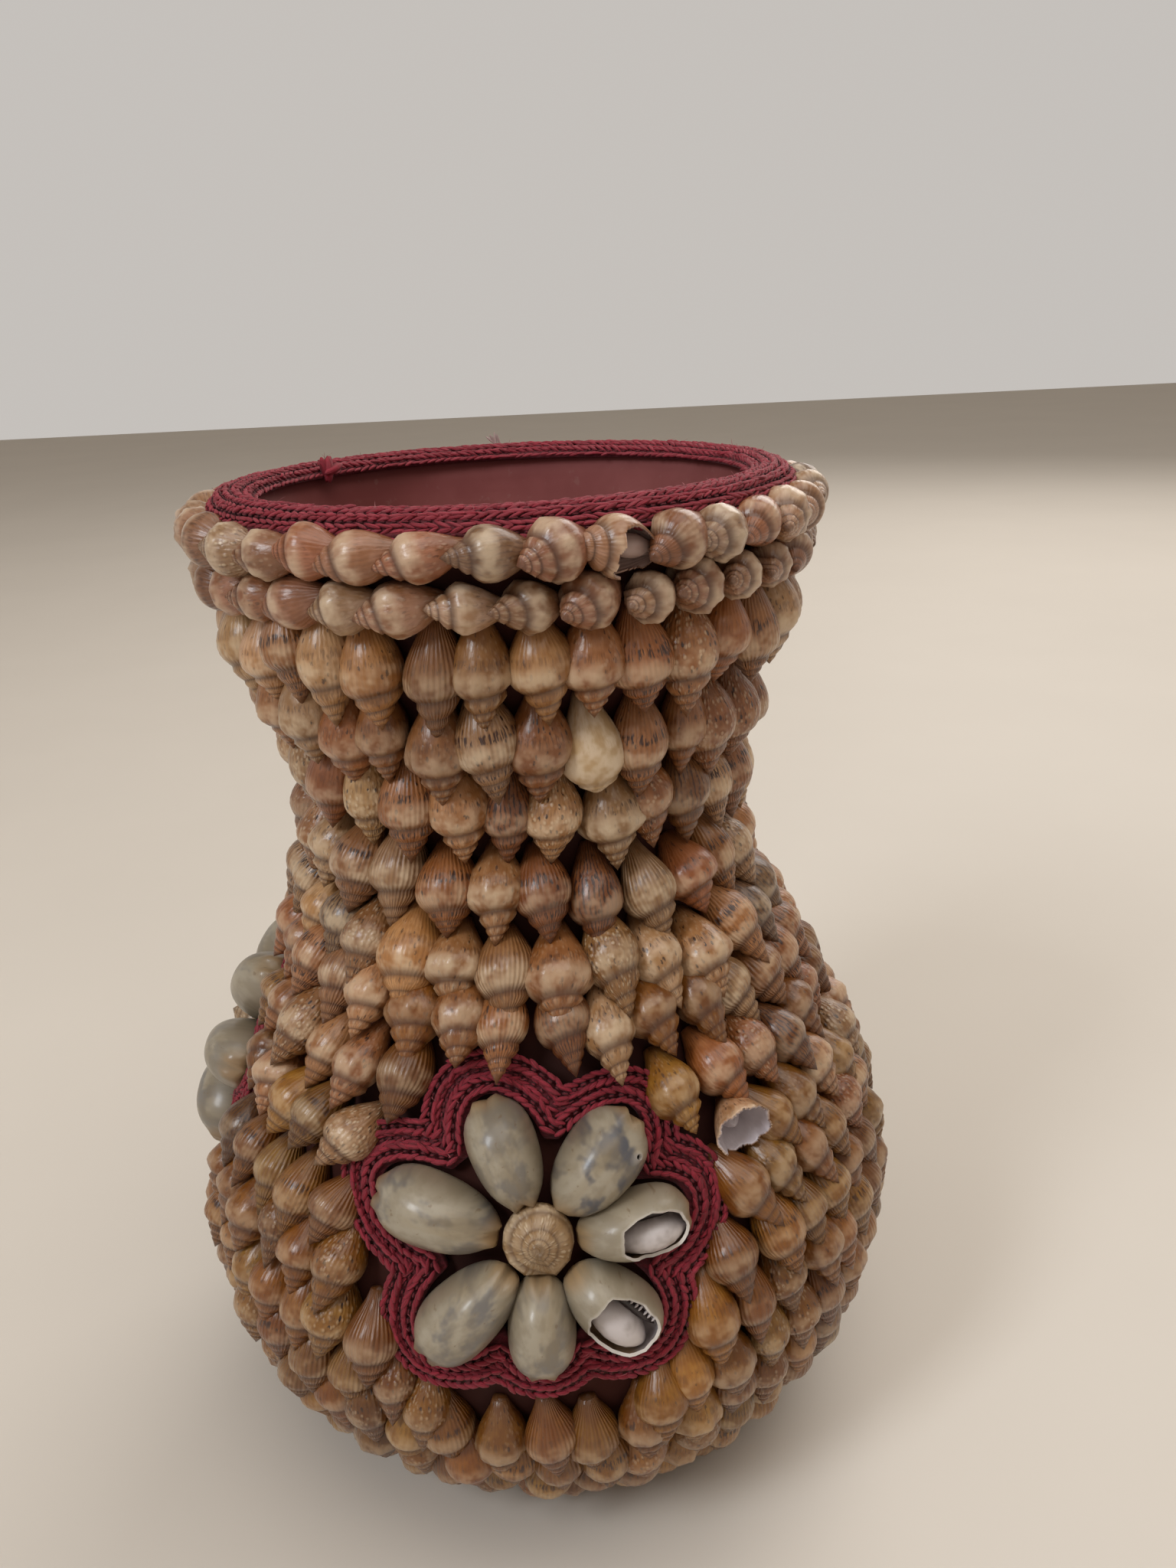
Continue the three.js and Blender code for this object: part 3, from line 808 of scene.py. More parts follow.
def hole_edge(gone, corner):
    """Quads from the outside to the lining, wherever a quad that is gone meets one that is left."""
    after = np.roll(corner, -1, axis=1)
    below = gone[:-1] != gone[1:]
    beside = gone != np.roll(gone, -1, axis=1)
    edges = np.concatenate([np.stack([corner[1:-1][below], after[1:-1][below]], axis=1),
                            np.stack([after[:-1][beside], after[1:][beside]], axis=1)])
    quads = np.concatenate([edges, edges[:, ::-1] + corner.size], axis=1)
    return quads, np.full((len(quads), 4, 2), 0.5)


def broken_patch(shape):
    """A shell with a hole in its wall: its outside, its lining, the broken edge and the pillar inside."""
    grid = (BROKEN_COLUMNS, BROKEN_BODY_ROWS, BROKEN_SPIRE_ROWS)
    outer, place, relief = shell_surface(shape, *grid)
    inner, _, _ = shell_surface(dict(shape, width=shape["width"] - 2 * SHELL_WALL), *grid)
    corner = np.arange(len(outer)).reshape(-1, len(BROKEN_COLUMNS))
    gone = missing_quads(shape, relief[:, 2].reshape(corner.shape))
    faces, places = (part[~gone.ravel()] for part in grid_faces(*corner.shape))
    end = shape["pillar"] * shape["suture"] * shape["length"]
    thick = PILLAR_WIDTH * shape["width"]
    pillar, pillar_faces = spindle(end, thick, thick)
    pillar = pillar[:, [1, 0, 2]] + [0.0, 0.5 * end, -PILLAR_DEPTH * shape["width"]]
    groups = [(faces, places), (faces[:, ::-1] + corner.size, places[:, ::-1]), hole_edge(gone, corner)]
    groups += [(group + 2 * corner.size, there) for group, there in pillar_faces]
    place = np.concatenate([place, place, np.tile(place[:1], (len(pillar), 1))])
    relief = np.concatenate([relief, np.tile([0.0, 0.0, 0.5], (len(outer) + len(pillar), 1))])
    values = shell_values(shape, place, relief)
    values["shell_grain"][corner.size:, 2] = shape["lining"]
    return np.concatenate([outer, inner, pillar]), values, groups


def new_shape(length, width, zone):
    """A shell of about that size, with its kind and its small differences drawn at random."""
    look = ZONES[zone]
    tone, ribs, knobs, marks, grain = KINDS[rng.choice(list(KINDS), p=look["shares"])]
    tint = linear(*look["tints"][rng.integers(len(look["tints"]))]) * tone * varied(*TONE_SPREAD)
    shape = {"zone": zone, "suture_line_and_shade": 1.0, "length": length * varied(*LENGTH_SPREAD),
             "width": width * varied(*WIDTH_SPREAD)}
    shape.update({key: rng.uniform(*limits) for key, limits in FORM_LIMITS.items()})
    shape["ribs"] = ribs * rng.uniform(*RELIEF_LIMITS)
    shape["knobs"] = knobs * rng.uniform(*RELIEF_LIMITS)
    shape["marks"] = np.array(marks) * rng.uniform(*MARK_LIMITS) * look["marking"]
    shape["grain"] = np.array([*grain, 0.0])
    shape["tint"] = np.clip(tint * rng.normal(1.0, TINT_SPREAD, 3), 0.0, 1.0)
    shape["seed"] = rng.uniform(0.0, SHELL_SEEDS)
    return shape


def add_shell(row, shape, pivot, axis, outward, roll):
    """Sets one shell down: its axis runs to the spire, and its front faces out, turned by the roll."""
    outward = unit(outward - axis * np.dot(outward, axis))
    across = np.cross(axis, outward)
    front = outward * math.cos(roll) + across * math.sin(roll)
    side = np.cross(axis, front)
    if "hole" in shape:
        points, values, faces = broken_patch(shape)
    else:
        kind = "relief" if shape["ribs"] + shape["knobs"] > 0 or shape["zone"] == "rim" else "plain"
        columns, faces = SHELL_GRIDS[kind]
        points, values = shell_patch(shape, columns)
    along = points[:, 1:2] - PIVOT * shape["length"]
    world = pivot + points[:, :1] * side + along * axis + points[:, 2:] * front
    world[:, 2] += max(0.0, FLOOR_CLEARANCE - world[:, 2].min())
    row.add(world, faces, **values)


def shell_row(name):
    return Piece(f"{name}_shells", "shell", SHELL, name)


def lean_at(distance, azimuth):
    """A shell's lean at a place on the skin, from the flowers near it."""
    lean = 0.0
    for centre in FLOWER_AZIMUTHS:
        across = from_centre(azimuth, centre) * outline_at(distance)[0]
        beside = bell(distance, FLOWER_DISTANCE - LEAN_ABOVE, LEAN_RISE)
        near = math.exp(-max(0.0, abs(across) - FLOWER_CLEARANCE) / LEAN_FADE)
        lean += LEAN * math.tanh(across / LEAN_ACROSS) * beside * near
    return lean


def off_braids(distance, azimuth, narrow_down, narrow_right):
    """A shell's place, moved away from a flower where its narrow end would lie on the braid."""
    for flower in FLOWERS:
        radius = float(outline_at(distance)[0])
        across = from_centre(azimuth, flower["azimuth"]) * radius + narrow_right
        above = FLOWER_DISTANCE - distance - narrow_down
        angle = math.atan2(above, across)
        reach = float(braid_reach(flower, np.array(angle), *LOOP_OUTER))
        short = reach - math.hypot(above, across)
        if short > 0.0:
            distance -= short * math.sin(angle)
            azimuth += short * math.cos(angle) / radius
    return distance, azimuth


def upright_shell(piece, row, azimuth, special):
    """One shell of an upright row, spire down, its narrow end on the skin and its spire over the next row."""
    tone = "neck" if rng.random() < row["neck_share"] else "belly"
    shape = new_shape(row["shell_length"], row["shell_width"], tone)
    shape.update(special)
    lean = shape.get("lean", lean_at(row["distance"], azimuth) + scatter(UPRIGHT_SCATTER["lean"]))
    tilt = shape.get("tilt", row["tilt"] + scatter(UPRIGHT_SCATTER["tilt"]))
    distance = row["distance"] + row["dip"] * math.sin(azimuth) + scatter(UPRIGHT_SCATTER["drop"])
    half = PIVOT * shape["length"]
    narrow_down = -half * math.cos(tilt) * math.cos(lean)
    narrow_right = -half * math.cos(tilt) * math.sin(lean)
    distance, azimuth = off_braids(distance + shape.get("drop", 0.0), azimuth + shape.get("turn", 0.0),
                                   narrow_down, narrow_right)
    down, right, outward = skin_axes(distance, azimuth)
    flat = down * math.cos(lean) + right * math.sin(lean)
    axis = flat * math.cos(tilt) + outward * math.sin(tilt)
    lift = NARROW_END_LIFT + half * math.sin(tilt)
    top = (distance + narrow_down, azimuth + narrow_right / row["radius"])
    narrow_end = skin(distance, azimuth, lift) - axis * half
    lift += NARROW_END_LIFT - float(np.dot(narrow_end - skin(*top, 0.0), skin_axes(*top)[2]))
    add_shell(piece, shape, skin(distance, azimuth, lift), axis, outward, scatter(UPRIGHT_SCATTER["roll"]))


def rim_shell(piece, row, azimuth, hole):
    """One shell of a level row below the lip, its spire lapping the shell to its left."""
    shape = new_shape(RIM_SHELL_LENGTH, RIM_SHELL_WIDTH * RIM_PLUMPNESS, "rim")
    shape.update(hole)
    down, right, outward = skin_axes(row["distance"], azimuth)
    turn = scatter(RIM_SCATTER["turn"])
    flat = -right * math.cos(turn) + down * math.sin(turn)
    turns_out = RIM_TURN_FROM < from_centre(azimuth) < RIM_TURN_TO
    tilt = RIM_TILT + (row["turn_out"] if turns_out else 0.0) + scatter(RIM_SCATTER["tilt"])
    tilt = shape.get("tilt", tilt)
    axis = flat * math.cos(tilt) + outward * math.sin(tilt)
    lift = RIM_LIFT + scatter(RIM_SCATTER["lift"])
    pivot = skin(row["distance"] + scatter(RIM_SCATTER["drop"]), azimuth, lift)
    add_shell(piece, shape, pivot, axis, outward, 0.0 if hole else scatter(RIM_SCATTER["roll"]))


def add_rim_rows():
    for number in range(RIM_ROWS):
        distance = (number + 0.5) * RIM_SHELL_WIDTH + RIM_DROPS[number]
        row = {"distance": distance, "turn_out": RIM_TURN_OUT[number]}
        count = round(TURN * (float(outline_at(distance)[0]) + AXIS_HEIGHT) / RIM_SPACING)
        broken = round(RIM_HOLE["azimuth"] / TURN * count) if number == 0 else None
        piece = shell_row(f"shell_row_{number + 1:02d}")
        for place in range(count):
            azimuth = TURN * (place + 0.5 * number + scatter(RIM_SCATTER["place"])) / count
            rim_shell(piece, row, azimuth, RIM_HOLE if place == broken else {})
        piece.finish()


def row_edges():
    """Edges of the upright rows: even steps along a line that stands off the skin."""
    tips = skin(RUN, 0.0, TIP_HEIGHT)[:, 2]
    bottom = np.interp(-FOOT_CLEARANCE, -tips, RUN)
    distance = np.linspace(RIM_ROWS * RIM_SHELL_WIDTH, bottom, ROW_SAMPLES + 1)
    run = run_along(skin(distance, 0.0, ROW_LINE_HEIGHT))
    return np.interp(np.linspace(0.0, run[-1], UPRIGHT_ROWS + 1), run, distance)


def add_run(name, row, start, end, shift):
    """A run of upright shells from one azimuth to another, each shifted by a share of its room."""
    count = round((end - start) * (row["radius"] + AXIS_HEIGHT) / UPRIGHT_SPACING)
    specials = {}
    for shell in (LOST_SPIRE, PALE_SHELL):
        if row["number"] == shell["row"] and start < shell["azimuth"] < end:
            specials[round((shell["azimuth"] - start) / (end - start) * count - shift)] = shell
    piece = shell_row(name)
    for place in range(count):
        azimuth = start + (end - start) * (place + shift + scatter(UPRIGHT_SCATTER["place"])) / count
        upright_shell(piece, row, azimuth, specials.get(place, {}))
    piece.finish()


def upright_row(place, distance, pitch):
    """What the shells of one upright row share, from its place below the level rows."""
    number = place + RIM_ROWS + 1
    neck = number < BELLY_ROW
    last = place == UPRIGHT_ROWS - 1
    drop = ROW_DROPS[place] if place < len(ROW_DROPS) else BELLY_DROP * (1 - place / UPRIGHT_ROWS)
    return {
        "number": number,
        "distance": distance + drop,
        "radius": float(outline_at(distance)[0]),
        "tilt": math.atan(LAP_HEIGHT / pitch),
        "shell_length": NECK_LENGTH if neck else UPRIGHT_LENGTH * (FOOT_ROW_SCALE if last else 1.0),
        "shell_width": NECK_WIDTH if neck else UPRIGHT_WIDTH,
        "dip": ROW_DIP if number in DIP_ROWS else 0.0,
        "neck_share": (BELLY_FROM - number) / NECK_FADE,
    }


def add_upright_rows():
    edges = row_edges()
    centres = (edges[:-1] + edges[1:]) / 2
    pitches = np.diff(run_along(skin(centres, 0.0, 2 * AXIS_HEIGHT)))
    for place, distance in enumerate(centres):
        row = upright_row(place, distance, pitches[min(place, len(pitches) - 1)])
        name = f"shell_row_{row['number']:02d}"
        down = distance - FLOWER_DISTANCE
        if abs(down) >= FLOWER_ROOM:
            start = math.radians(ROW_PHASES[place]) if place < len(ROW_PHASES) else rng.uniform(0.0, 1.0)
            add_run(name, row, start, start + TURN, 0.0)
            continue
        high = RUN_RISE * down if down < 0 else down
        clear = math.sqrt(max(RUN_CLEARANCE ** 2 - high ** 2, 0.0)) / row["radius"]
        shift = RUN_SHIFT / row["radius"] if down < 0 else 0.0
        for side, start, end in zip(("right", "back", "left"), FLOWER_AZIMUTHS, [*FLOWER_AZIMUTHS[1:], TURN]):
            add_run(f"{name}_{side}", row, start + clear + shift, end - clear + shift, 0.5)


# The flowers

PETALS = 7
EVEN_PETAL = {"start": 5.6, "reach": 25.0, "girth": 6.0, "slack": 0.6}


def even_petals(first):
    return [{"angle": first + 360.0 * petal / PETALS, **EVEN_PETAL} for petal in range(PETALS)]


# Each petal's direction in degrees, its start and reach from the middle, half its width, the braid's slack
# round its end, its clouds, and a broken one's hole: middle and half sizes as shares of its own half sizes
PETAL_KEYS = ("angle", "start", "reach", "girth", "slack", "clouds", "hole")
FRONT_PETALS = [dict(zip(PETAL_KEYS, petal)) for petal in (
    (108.5, 4.9, 22.8, 5.6, 1.6, 0.6),
    (167.0, 5.3, 26.6, 6.0, 1.2, 0.8),
    (225.0, 5.9, 26.6, 6.0, 0.8, 0.7),
    (269.0, 5.0, 22.0, 5.5, 0.0, 0.6),
    (312.5, 6.6, 25.2, 6.0, 0.6, 0.1, (0.18, -0.1, 0.68, 0.84)),
    (360.5, 5.3, 24.3, 5.6, 1.6, 0.1, (0.2, -0.2, 0.62, 0.74)),
    (407.5, 4.9, 23.4, 6.4, 0.2, 1.0, (0.5, -0.52, 0.05, 0.08)),
)]
FLOWERS = [
    {"name": "front", "azimuth": math.radians(0.7), "petals": FRONT_PETALS},
    {"name": "right", "azimuth": FLOWER_AZIMUTHS[1], "petals": even_petals(116.0)},
    {"name": "left", "azimuth": FLOWER_AZIMUTHS[2], "petals": even_petals(113.0)},
]
# A cowrie's form
COWRIE_HEIGHT = 8.6
COWRIE_BELLY = 0.25
COWRIE_EGG = 0.14
COWRIE_SQUARE = 2.4
COWRIE_WALL = 0.5
DOME_POWER = 2.3
DOME_SEGMENTS = 40
DOME_RINGS = 16
BASE_RINGS = 5
COWRIE_SEEDS = 200.0
CLOUD_LIMITS = (0.3, 0.7)
# The two humps at each end of a cowrie, with a notch between them
COLLAR = (0.95, 0.08)
HUMP_PLACE = 1.7
HUMP_HEIGHT = 1.2
HUMP_WIDTH = 0.9
HUMP_REACH = 0.8
HUMP_SPREAD = 1.0
NOTCH_DEPTH = 0.9
NOTCH_WIDTH = 0.8
# A hole's jags: count, size and phase. A hole of a larger half length than this shows the inner turn
HOLE_WAVES = [(3, 0.05, 1.0), (7, 0.02, 2.2), (13, 0.015, 0.0)]
HOLE_LIMIT = 0.985
WIDE_HOLE = 0.3
WIDE_HOLE_HUMPS = 0.3
EDGE_SHARE = 0.4
# The turn inside a broken cowrie, in shares of the cowrie's half length, half width and height.
# A part is its shares of lining, broken edge and the slit's painted shade
INNER_TURN = (1.7, 1.15, 1.15)
INNER_GRID = (12, 16)
INNER_PART = (1.0, 0.25, 0.0)
INNER_TAPER = (0.95, 0.6)
INNER_PLACE = (0.5, -0.12, 0.1)
# The slit beside it, a dark bead of painted shade, and its teeth
SLIT_LENGTH = 1.15
SLIT_WIDTH = 1.9
SLIT_HEIGHT = 1.6
SLIT_PLACE = (0.48, 0.3)
TEETH = 9
TOOTH = (1.3, 0.4, 0.7)
TOOTH_GRID = (4, 6)
TOOTH_PART = (1.0, 0.3, 0.0)
TEETH_SPAN = 0.42
TEETH_SCATTER = 0.012
TEETH_PLACE = (0.64, 0.44)
# The boss in a flower's middle, where it differs from other shells
BOSS_FORM = {"length": BOSS_HEIGHT, "width": 2 * BOSS_RADIUS, "suture": 0.56, "step": 0.86, "shrink": 0.58,
             "peak": 0.6, "suture_line_and_shade": 0.7, "bulge": 0.06, "power": 0.6, "ribs": 0.02, "knobs": 0.0,
             "tint": linear(164, 136, 104), "marks": np.array([0.3, 0.0, 0.0]),
             "grain": np.array([0.9, 0.0, 0.0])}


def on_flower(flower, angle, reach, lift):
    """Point of a flower, from its middle outwards along the skin."""
    distance = FLOWER_DISTANCE - reach * np.sin(angle)
    azimuth = flower["azimuth"] + reach * np.cos(angle) / outline_at(distance)[0]
    return skin(distance, azimuth, lift)


def cowrie_points(disc, size, top, wall, humps):
    """Points of a cowrie over a unit disc, on its domed back or its flat base, moved in by a wall."""
    half_length, half_width = size
    ring = np.hypot(disc[..., 0], disc[..., 1])
    squared = (np.abs(disc) ** COWRIE_SQUARE).sum(axis=-1) ** (1.0 / COWRIE_SQUARE)
    plan = disc * (ring / np.maximum(squared, TINY))[..., None]
    along = plan[..., 0] * (half_length - wall)
    across = plan[..., 1] * (half_width - wall) * (1.0 + COWRIE_EGG * plan[..., 0])
    rise = np.sqrt(np.maximum(1.0 - np.minimum(ring, 1.0) ** DOME_POWER, 0.0))
    if not top:
        return np.stack([along, across, -rise * (COWRIE_HEIGHT * COWRIE_BELLY - wall)], axis=-1)
    end = humps * bell(np.abs(disc[..., 0]), *COLLAR)
    hump = HUMP_HEIGHT * bell(np.abs(across), HUMP_PLACE, HUMP_WIDTH)
    notch = NOTCH_DEPTH * bell(across, 0.0, NOTCH_WIDTH)
    height = rise * (COWRIE_HEIGHT - wall) + end * (hump - notch)
    reach = HUMP_REACH * bell(np.abs(across), HUMP_PLACE, HUMP_SPREAD)
    return np.stack([along + np.sign(along) * end * reach, across, height], axis=-1)


def dome_disc(hole):
    """A disc of rings from a hole's edge, or from a point, out to the margin."""
    turn = np.linspace(0.0, TURN, DOME_SEGMENTS, endpoint=False)
    middle = np.array(hole[:2])
    heading = np.stack([np.cos(turn), np.sin(turn)], axis=1)
    start = heading * hole[2:] * wavy(turn, HOLE_WAVES)[:, None]
    near = np.linalg.norm(start, axis=1)
    heading = np.where(near[:, None] > TINY, start / np.maximum(near, TINY)[:, None], heading)
    towards = heading @ middle
    far = -towards + np.sqrt(np.maximum(towards ** 2 + 1.0 - middle @ middle, 0.0))
    share = np.sin(0.5 * np.pi * np.linspace(0.0, 1.0, DOME_RINGS))[:, None]
    reach = np.minimum(near, far * HOLE_LIMIT) * (1 - share) + far * share
    return middle + reach[..., None] * heading


def cowrie_patch(size, hole, wall):
    """Back and base of a cowrie as one grid of rings, from the hole's edge to the middle of the base."""
    disc = dome_disc(hole)
    base = disc[-1] * np.cos(0.5 * np.pi * np.linspace(0.0, 1.0, BASE_RINGS + 1))[1:-1, None, None]
    humps = WIDE_HOLE_HUMPS if hole[2] > WIDE_HOLE else 1.0
    points = [cowrie_points(disc, size, True, wall, humps), cowrie_points(base, size, False, wall, humps)]
    return np.concatenate(points), np.concatenate([disc, base])


def petal_axes(flower, petal):
    """The middle of a petal's base, and its axes: outwards along the petal, across it and up from it."""
    angle = math.radians(petal["angle"])
    middle = (petal["reach"] + petal["start"]) / 2
    lift = SKIN_GAP + COWRIE_HEIGHT * COWRIE_BELLY
    foot = on_flower(flower, angle, middle, lift)
    ends = on_flower(flower, angle, np.array([petal["reach"], petal["start"]]), lift)
    up = unit(on_flower(flower, angle, middle, lift + 1.0) - foot)
    across = unit(np.cross(up, ends[0] - ends[1]))
    return foot, np.stack([np.cross(across, up), across, up])


def add_part(piece, seat, points, faces, place, part, clouds=0.0):
    """One surface of a cowrie, with its shares of lining, broken edge and the painted shade of the slit."""
    foot, axes = seat
    piece.add(foot + points @ axes, faces, cowrie_place=place, cowrie_part=part, cowrie_clouds=clouds)


def add_cowrie_wall(piece, seat, surface, place, wall, broken, clouds):
    """The outside of a cowrie, or its inner face where a wall is given, closed by a point under its base."""
    floor = wall - COWRIE_HEIGHT * COWRIE_BELLY
    points = np.concatenate([surface.reshape(-1, 3), [floor * UP]])
    middle = len(points) - 1
    faces = [grid_faces(len(surface), DOME_SEGMENTS),
             fan_faces(middle - DOME_SEGMENTS, DOME_SEGMENTS, middle, False)]
    part = np.zeros(points.shape)
    if broken:
        part[:DOME_SEGMENTS, 1] = EDGE_SHARE
    if wall:
        part[:, 0] = 1.0
        faces = flipped(faces)
    add_part(piece, seat, points, faces, np.concatenate([place, place[-1:]]), part, clouds)


def add_cowrie(flower, petal, number):
    """One petal. A broken one has an inner face and an edge, and the inner turn where its hole is wide."""
    name = f"{flower['name']}_cowrie_{number}"
    seat = petal_axes(flower, petal)
    size = ((petal["reach"] - petal["start"]) / 2, petal["girth"])
    seed = rng.uniform(0.0, COWRIE_SEEDS)
    clouds = petal.get("clouds", rng.uniform(*CLOUD_LIMITS))
    hole = petal.get("hole", (0.0, 0.0, 0.0, 0.0))
    broken = "hole" in petal
    piece = Piece(f"{name}_shell", "cowrie", COWRIE, name)
    edges = []
    for wall in (0.0, COWRIE_WALL) if broken else (0.0,):
        surface, disc = cowrie_patch(size, hole, wall)
        place = np.concatenate([disc, np.full((*disc.shape[:2], 1), seed)], axis=-1).reshape(-1, 3)
        add_cowrie_wall(piece, seat, surface, place, wall, broken, clouds)
        edges.insert(0, surface[0])
    if broken:
        edge_place = np.tile(place[:DOME_SEGMENTS], (2, 1))
        faces = [grid_faces(2, DOME_SEGMENTS)]
        add_part(piece, seat, np.concatenate(edges), faces, edge_place, [0.0, 1.0, 0.0])
    if hole[2] > WIDE_HOLE:
        add_inner_turn(piece, seat, size, hole, seed)
    piece.finish()


def add_inner_turn(piece, seat, size, hole, seed):
    """The turn inside a broken cowrie, and beside it the slit, a dark bead of painted shade, with its teeth.
    """
    half_length, half_width = size
    scale = np.array([half_length, half_width, COWRIE_HEIGHT])
    points, faces = spindle(*(INNER_TURN * scale), *INNER_GRID)
    taper, change = INNER_TAPER
    points[:, 1:] *= taper + change * points[:, :1] / (INNER_TURN[0] * half_length)
    ahead, aside, above = INNER_PLACE
    points = points + scale * [ahead * hole[0], aside + hole[1], above]
    place = np.abs(points) / half_width + seed * UP
    add_part(piece, seat, points, faces, place, INNER_PART)
    # The slit: a dark bead of painted shade where the opening runs into the shell
    slit_shadow, faces = spindle(SLIT_LENGTH * half_length, SLIT_WIDTH, SLIT_HEIGHT)
    aside, above = SLIT_PLACE
    slit_shadow = slit_shadow + scale * [hole[0], aside + hole[1], above]
    add_part(piece, seat, slit_shadow, faces, slit_shadow, [0.0, 0.0, 1.0])
    tooth, faces = spindle(*TOOTH, *TOOTH_GRID)
    aside, above = TEETH_PLACE
    steps = hole[0] + np.linspace(-TEETH_SPAN, TEETH_SPAN, TEETH) + scatter(TEETH_SCATTER, TEETH)
    middles = scale * np.stack(np.broadcast_arrays(steps, aside + hole[1], above), axis=1)
    teeth = middles[:, None] + tooth[:, [1, 0, 2]]
    add_part(piece, seat, teeth, faces, teeth / half_width, TOOTH_PART)


def add_boss(flower):
    """The round shell in a flower's middle, spire outwards."""
    shape = new_shape(BOSS_HEIGHT, 2 * BOSS_RADIUS, "rim")
    shape.update(BOSS_FORM)
    foot = on_flower(flower, 0.0, 0.0, SKIN_GAP)
    outward = unit(on_flower(flower, 0.0, 0.0, SKIN_GAP + 1.0) - foot)
    piece = shell_row(f"{flower['name']}_boss_shell")
    add_shell(piece, shape, foot + outward * PIVOT * BOSS_HEIGHT, outward, UP, 0.0)
    piece.finish()


# The braids

# A stitch's two legs and the hole between them, as shares of the stitch, of the chain's width or of both.
# A grid is a bead's rings, sides and bluntness
LEG_GRID = (4, 5, 0.6)
LEG_SIZE = (1.7, 0.33, 0.36)
LEG_SIZES = (0.82, 1.18)
LEG_ANGLE = math.radians(15)
LEG_OFFSET = 0.27
LEG_RISE = 0.12
LEG_SWAY = 0.13
LEG_SCATTER = 0.06
HOLE_GRID = (2, 4, 0.6)
HOLE_SIZE = (0.66, 0.2, 0.34)
HOLE_SIZES = (0.7, 1.2)
HOLE_PLACE = -0.15
HOLE_LIFT = 0.02
# A strand's fibres, its painted highlight on top and its painted shade below
FIBRE_STRETCH = (2.0, 1.0, 1.0)
STRAND_SEEDS = 90.0
HIGHLIGHT_TOP = 1.6
HIGHLIGHT_LIMITS = (0.1, 1.0)
DARK_BELOW = 2.0
DARK_LIMIT = 0.8
# A loose fibre: points along it and around it, thickness, how much of that it loses, and its scatter
FIBRE_POINTS = 5
FIBRE_SIDES = 3
FIBRE_GIRTH = 0.09
FIBRE_TAPER = 0.8
FIBRE_LENGTHS = (0.4, 1.0)
FIBRE_LEAN = 0.7
FIBRE_BEND = 0.35
# A loose fibre's shares of the highlight colour, which makes it paler all over, and of shade
FIBRE_PART = (0.7, 0.0)
FIBRE_ROOT = 0.4
# The valleys between a flower's petals: their mean reach, and how much more it is at the top and the sides
VALLEY = 22.0
VALLEY_TOP = 1.45
VALLEY_SIDES = 1.68
# A flower's braid: points round it, its edges and its heights. An edge is a margin round the petals, a
# distance inside the valleys and a share of the slack
LOOP_SAMPLES = 720
LOOP_INNER = (0.5, 6.8, 0.0)
LOOP_OUTER = (5.8, -0.9, 1.0)
LOOP_SIDE = 2.2
LOOP_CROWN = 2.4
BAND_STEP = 3
# The band's shares of highlight, painted shade and paleness
BAND_PART = (0.0, 0.6, 0.0)
BAND_SMOOTHING = 9
CHAIN_SMOOTHING = 15
# Each chain's edge, and its lift
LOOP_CHAINS = [(1.7, 5.2, 0.35, 3.2), (3.4, 2.6, 0.7, 2.6), (4.9, 0.0, 1.0, 3.2)]
# Width, stitch and strength of the painted highlight of a chain
LOOP_CHAIN = (3.1, 1.65, 0.35)
RIM_CHAIN = (2.3, 1.7, 1.0)
# Count, length and paleness of a chain's loose fibres
LOOP_FIBRES = (14, 1.4, 0.1)
RIM_FIBRES = (12, 1.0, 0.25)
# Radius, height and outward lean of each chain on the lip, the section of the band below them, and the count
# and size of their waves
RIM_SAMPLES = 360
RIM_CHAINS = [(43.1, 188.9, -0.85), (44.6, 189.9, -0.4), (46.4, 190.3, 0.0),
              (48.1, 190.0, 0.35), (49.6, 189.0, 0.8), (50.6, 187.2, 1.25)]
RIM_SECTION = [(42.6, 187.9), (50.0, 186.4), (50.6, 187.4), (48.9, 189.2), (47.2, 189.7), (45.2, 189.6),
               (43.0, 188.8)]
RIM_WAVES = [(5, 0.004), (11, 0.003)]
# The knot inside the lip: its place, its strands and their tilts and steps inwards, and its fibres
STRAND_GRID = (8, 8, 0.6)
KNOT_AZIMUTH = math.radians(-124)
KNOT_PLACE = (42.6, 189.4)
KNOT_TILTS = np.array([-0.3, 0.05, 0.35, 1.3])
KNOT_STEPS = [0.0, 0.6, 0.2, 1.0]
KNOT_STRAND = (5.2, 1.9, 1.9)
KNOT_FIBRES = (6, 2.6, 0.2)
KNOT_TOP = 1.6
# The frayed pale end at the back: its place, its strands and their lean
FRAY_AZIMUTH = math.radians(184)
FRAY_PLACE = (47.5, 191.0)
FRAY_STRANDS = 7
FRAY_STRAND = (4.0, 0.5, 0.5)
FRAY_SIZES = (0.6, 1.1)
FRAY_LEAN = (0.3, 0.5)
FRAY_SCATTER = 0.2
FRAY_PALENESS = 0.8


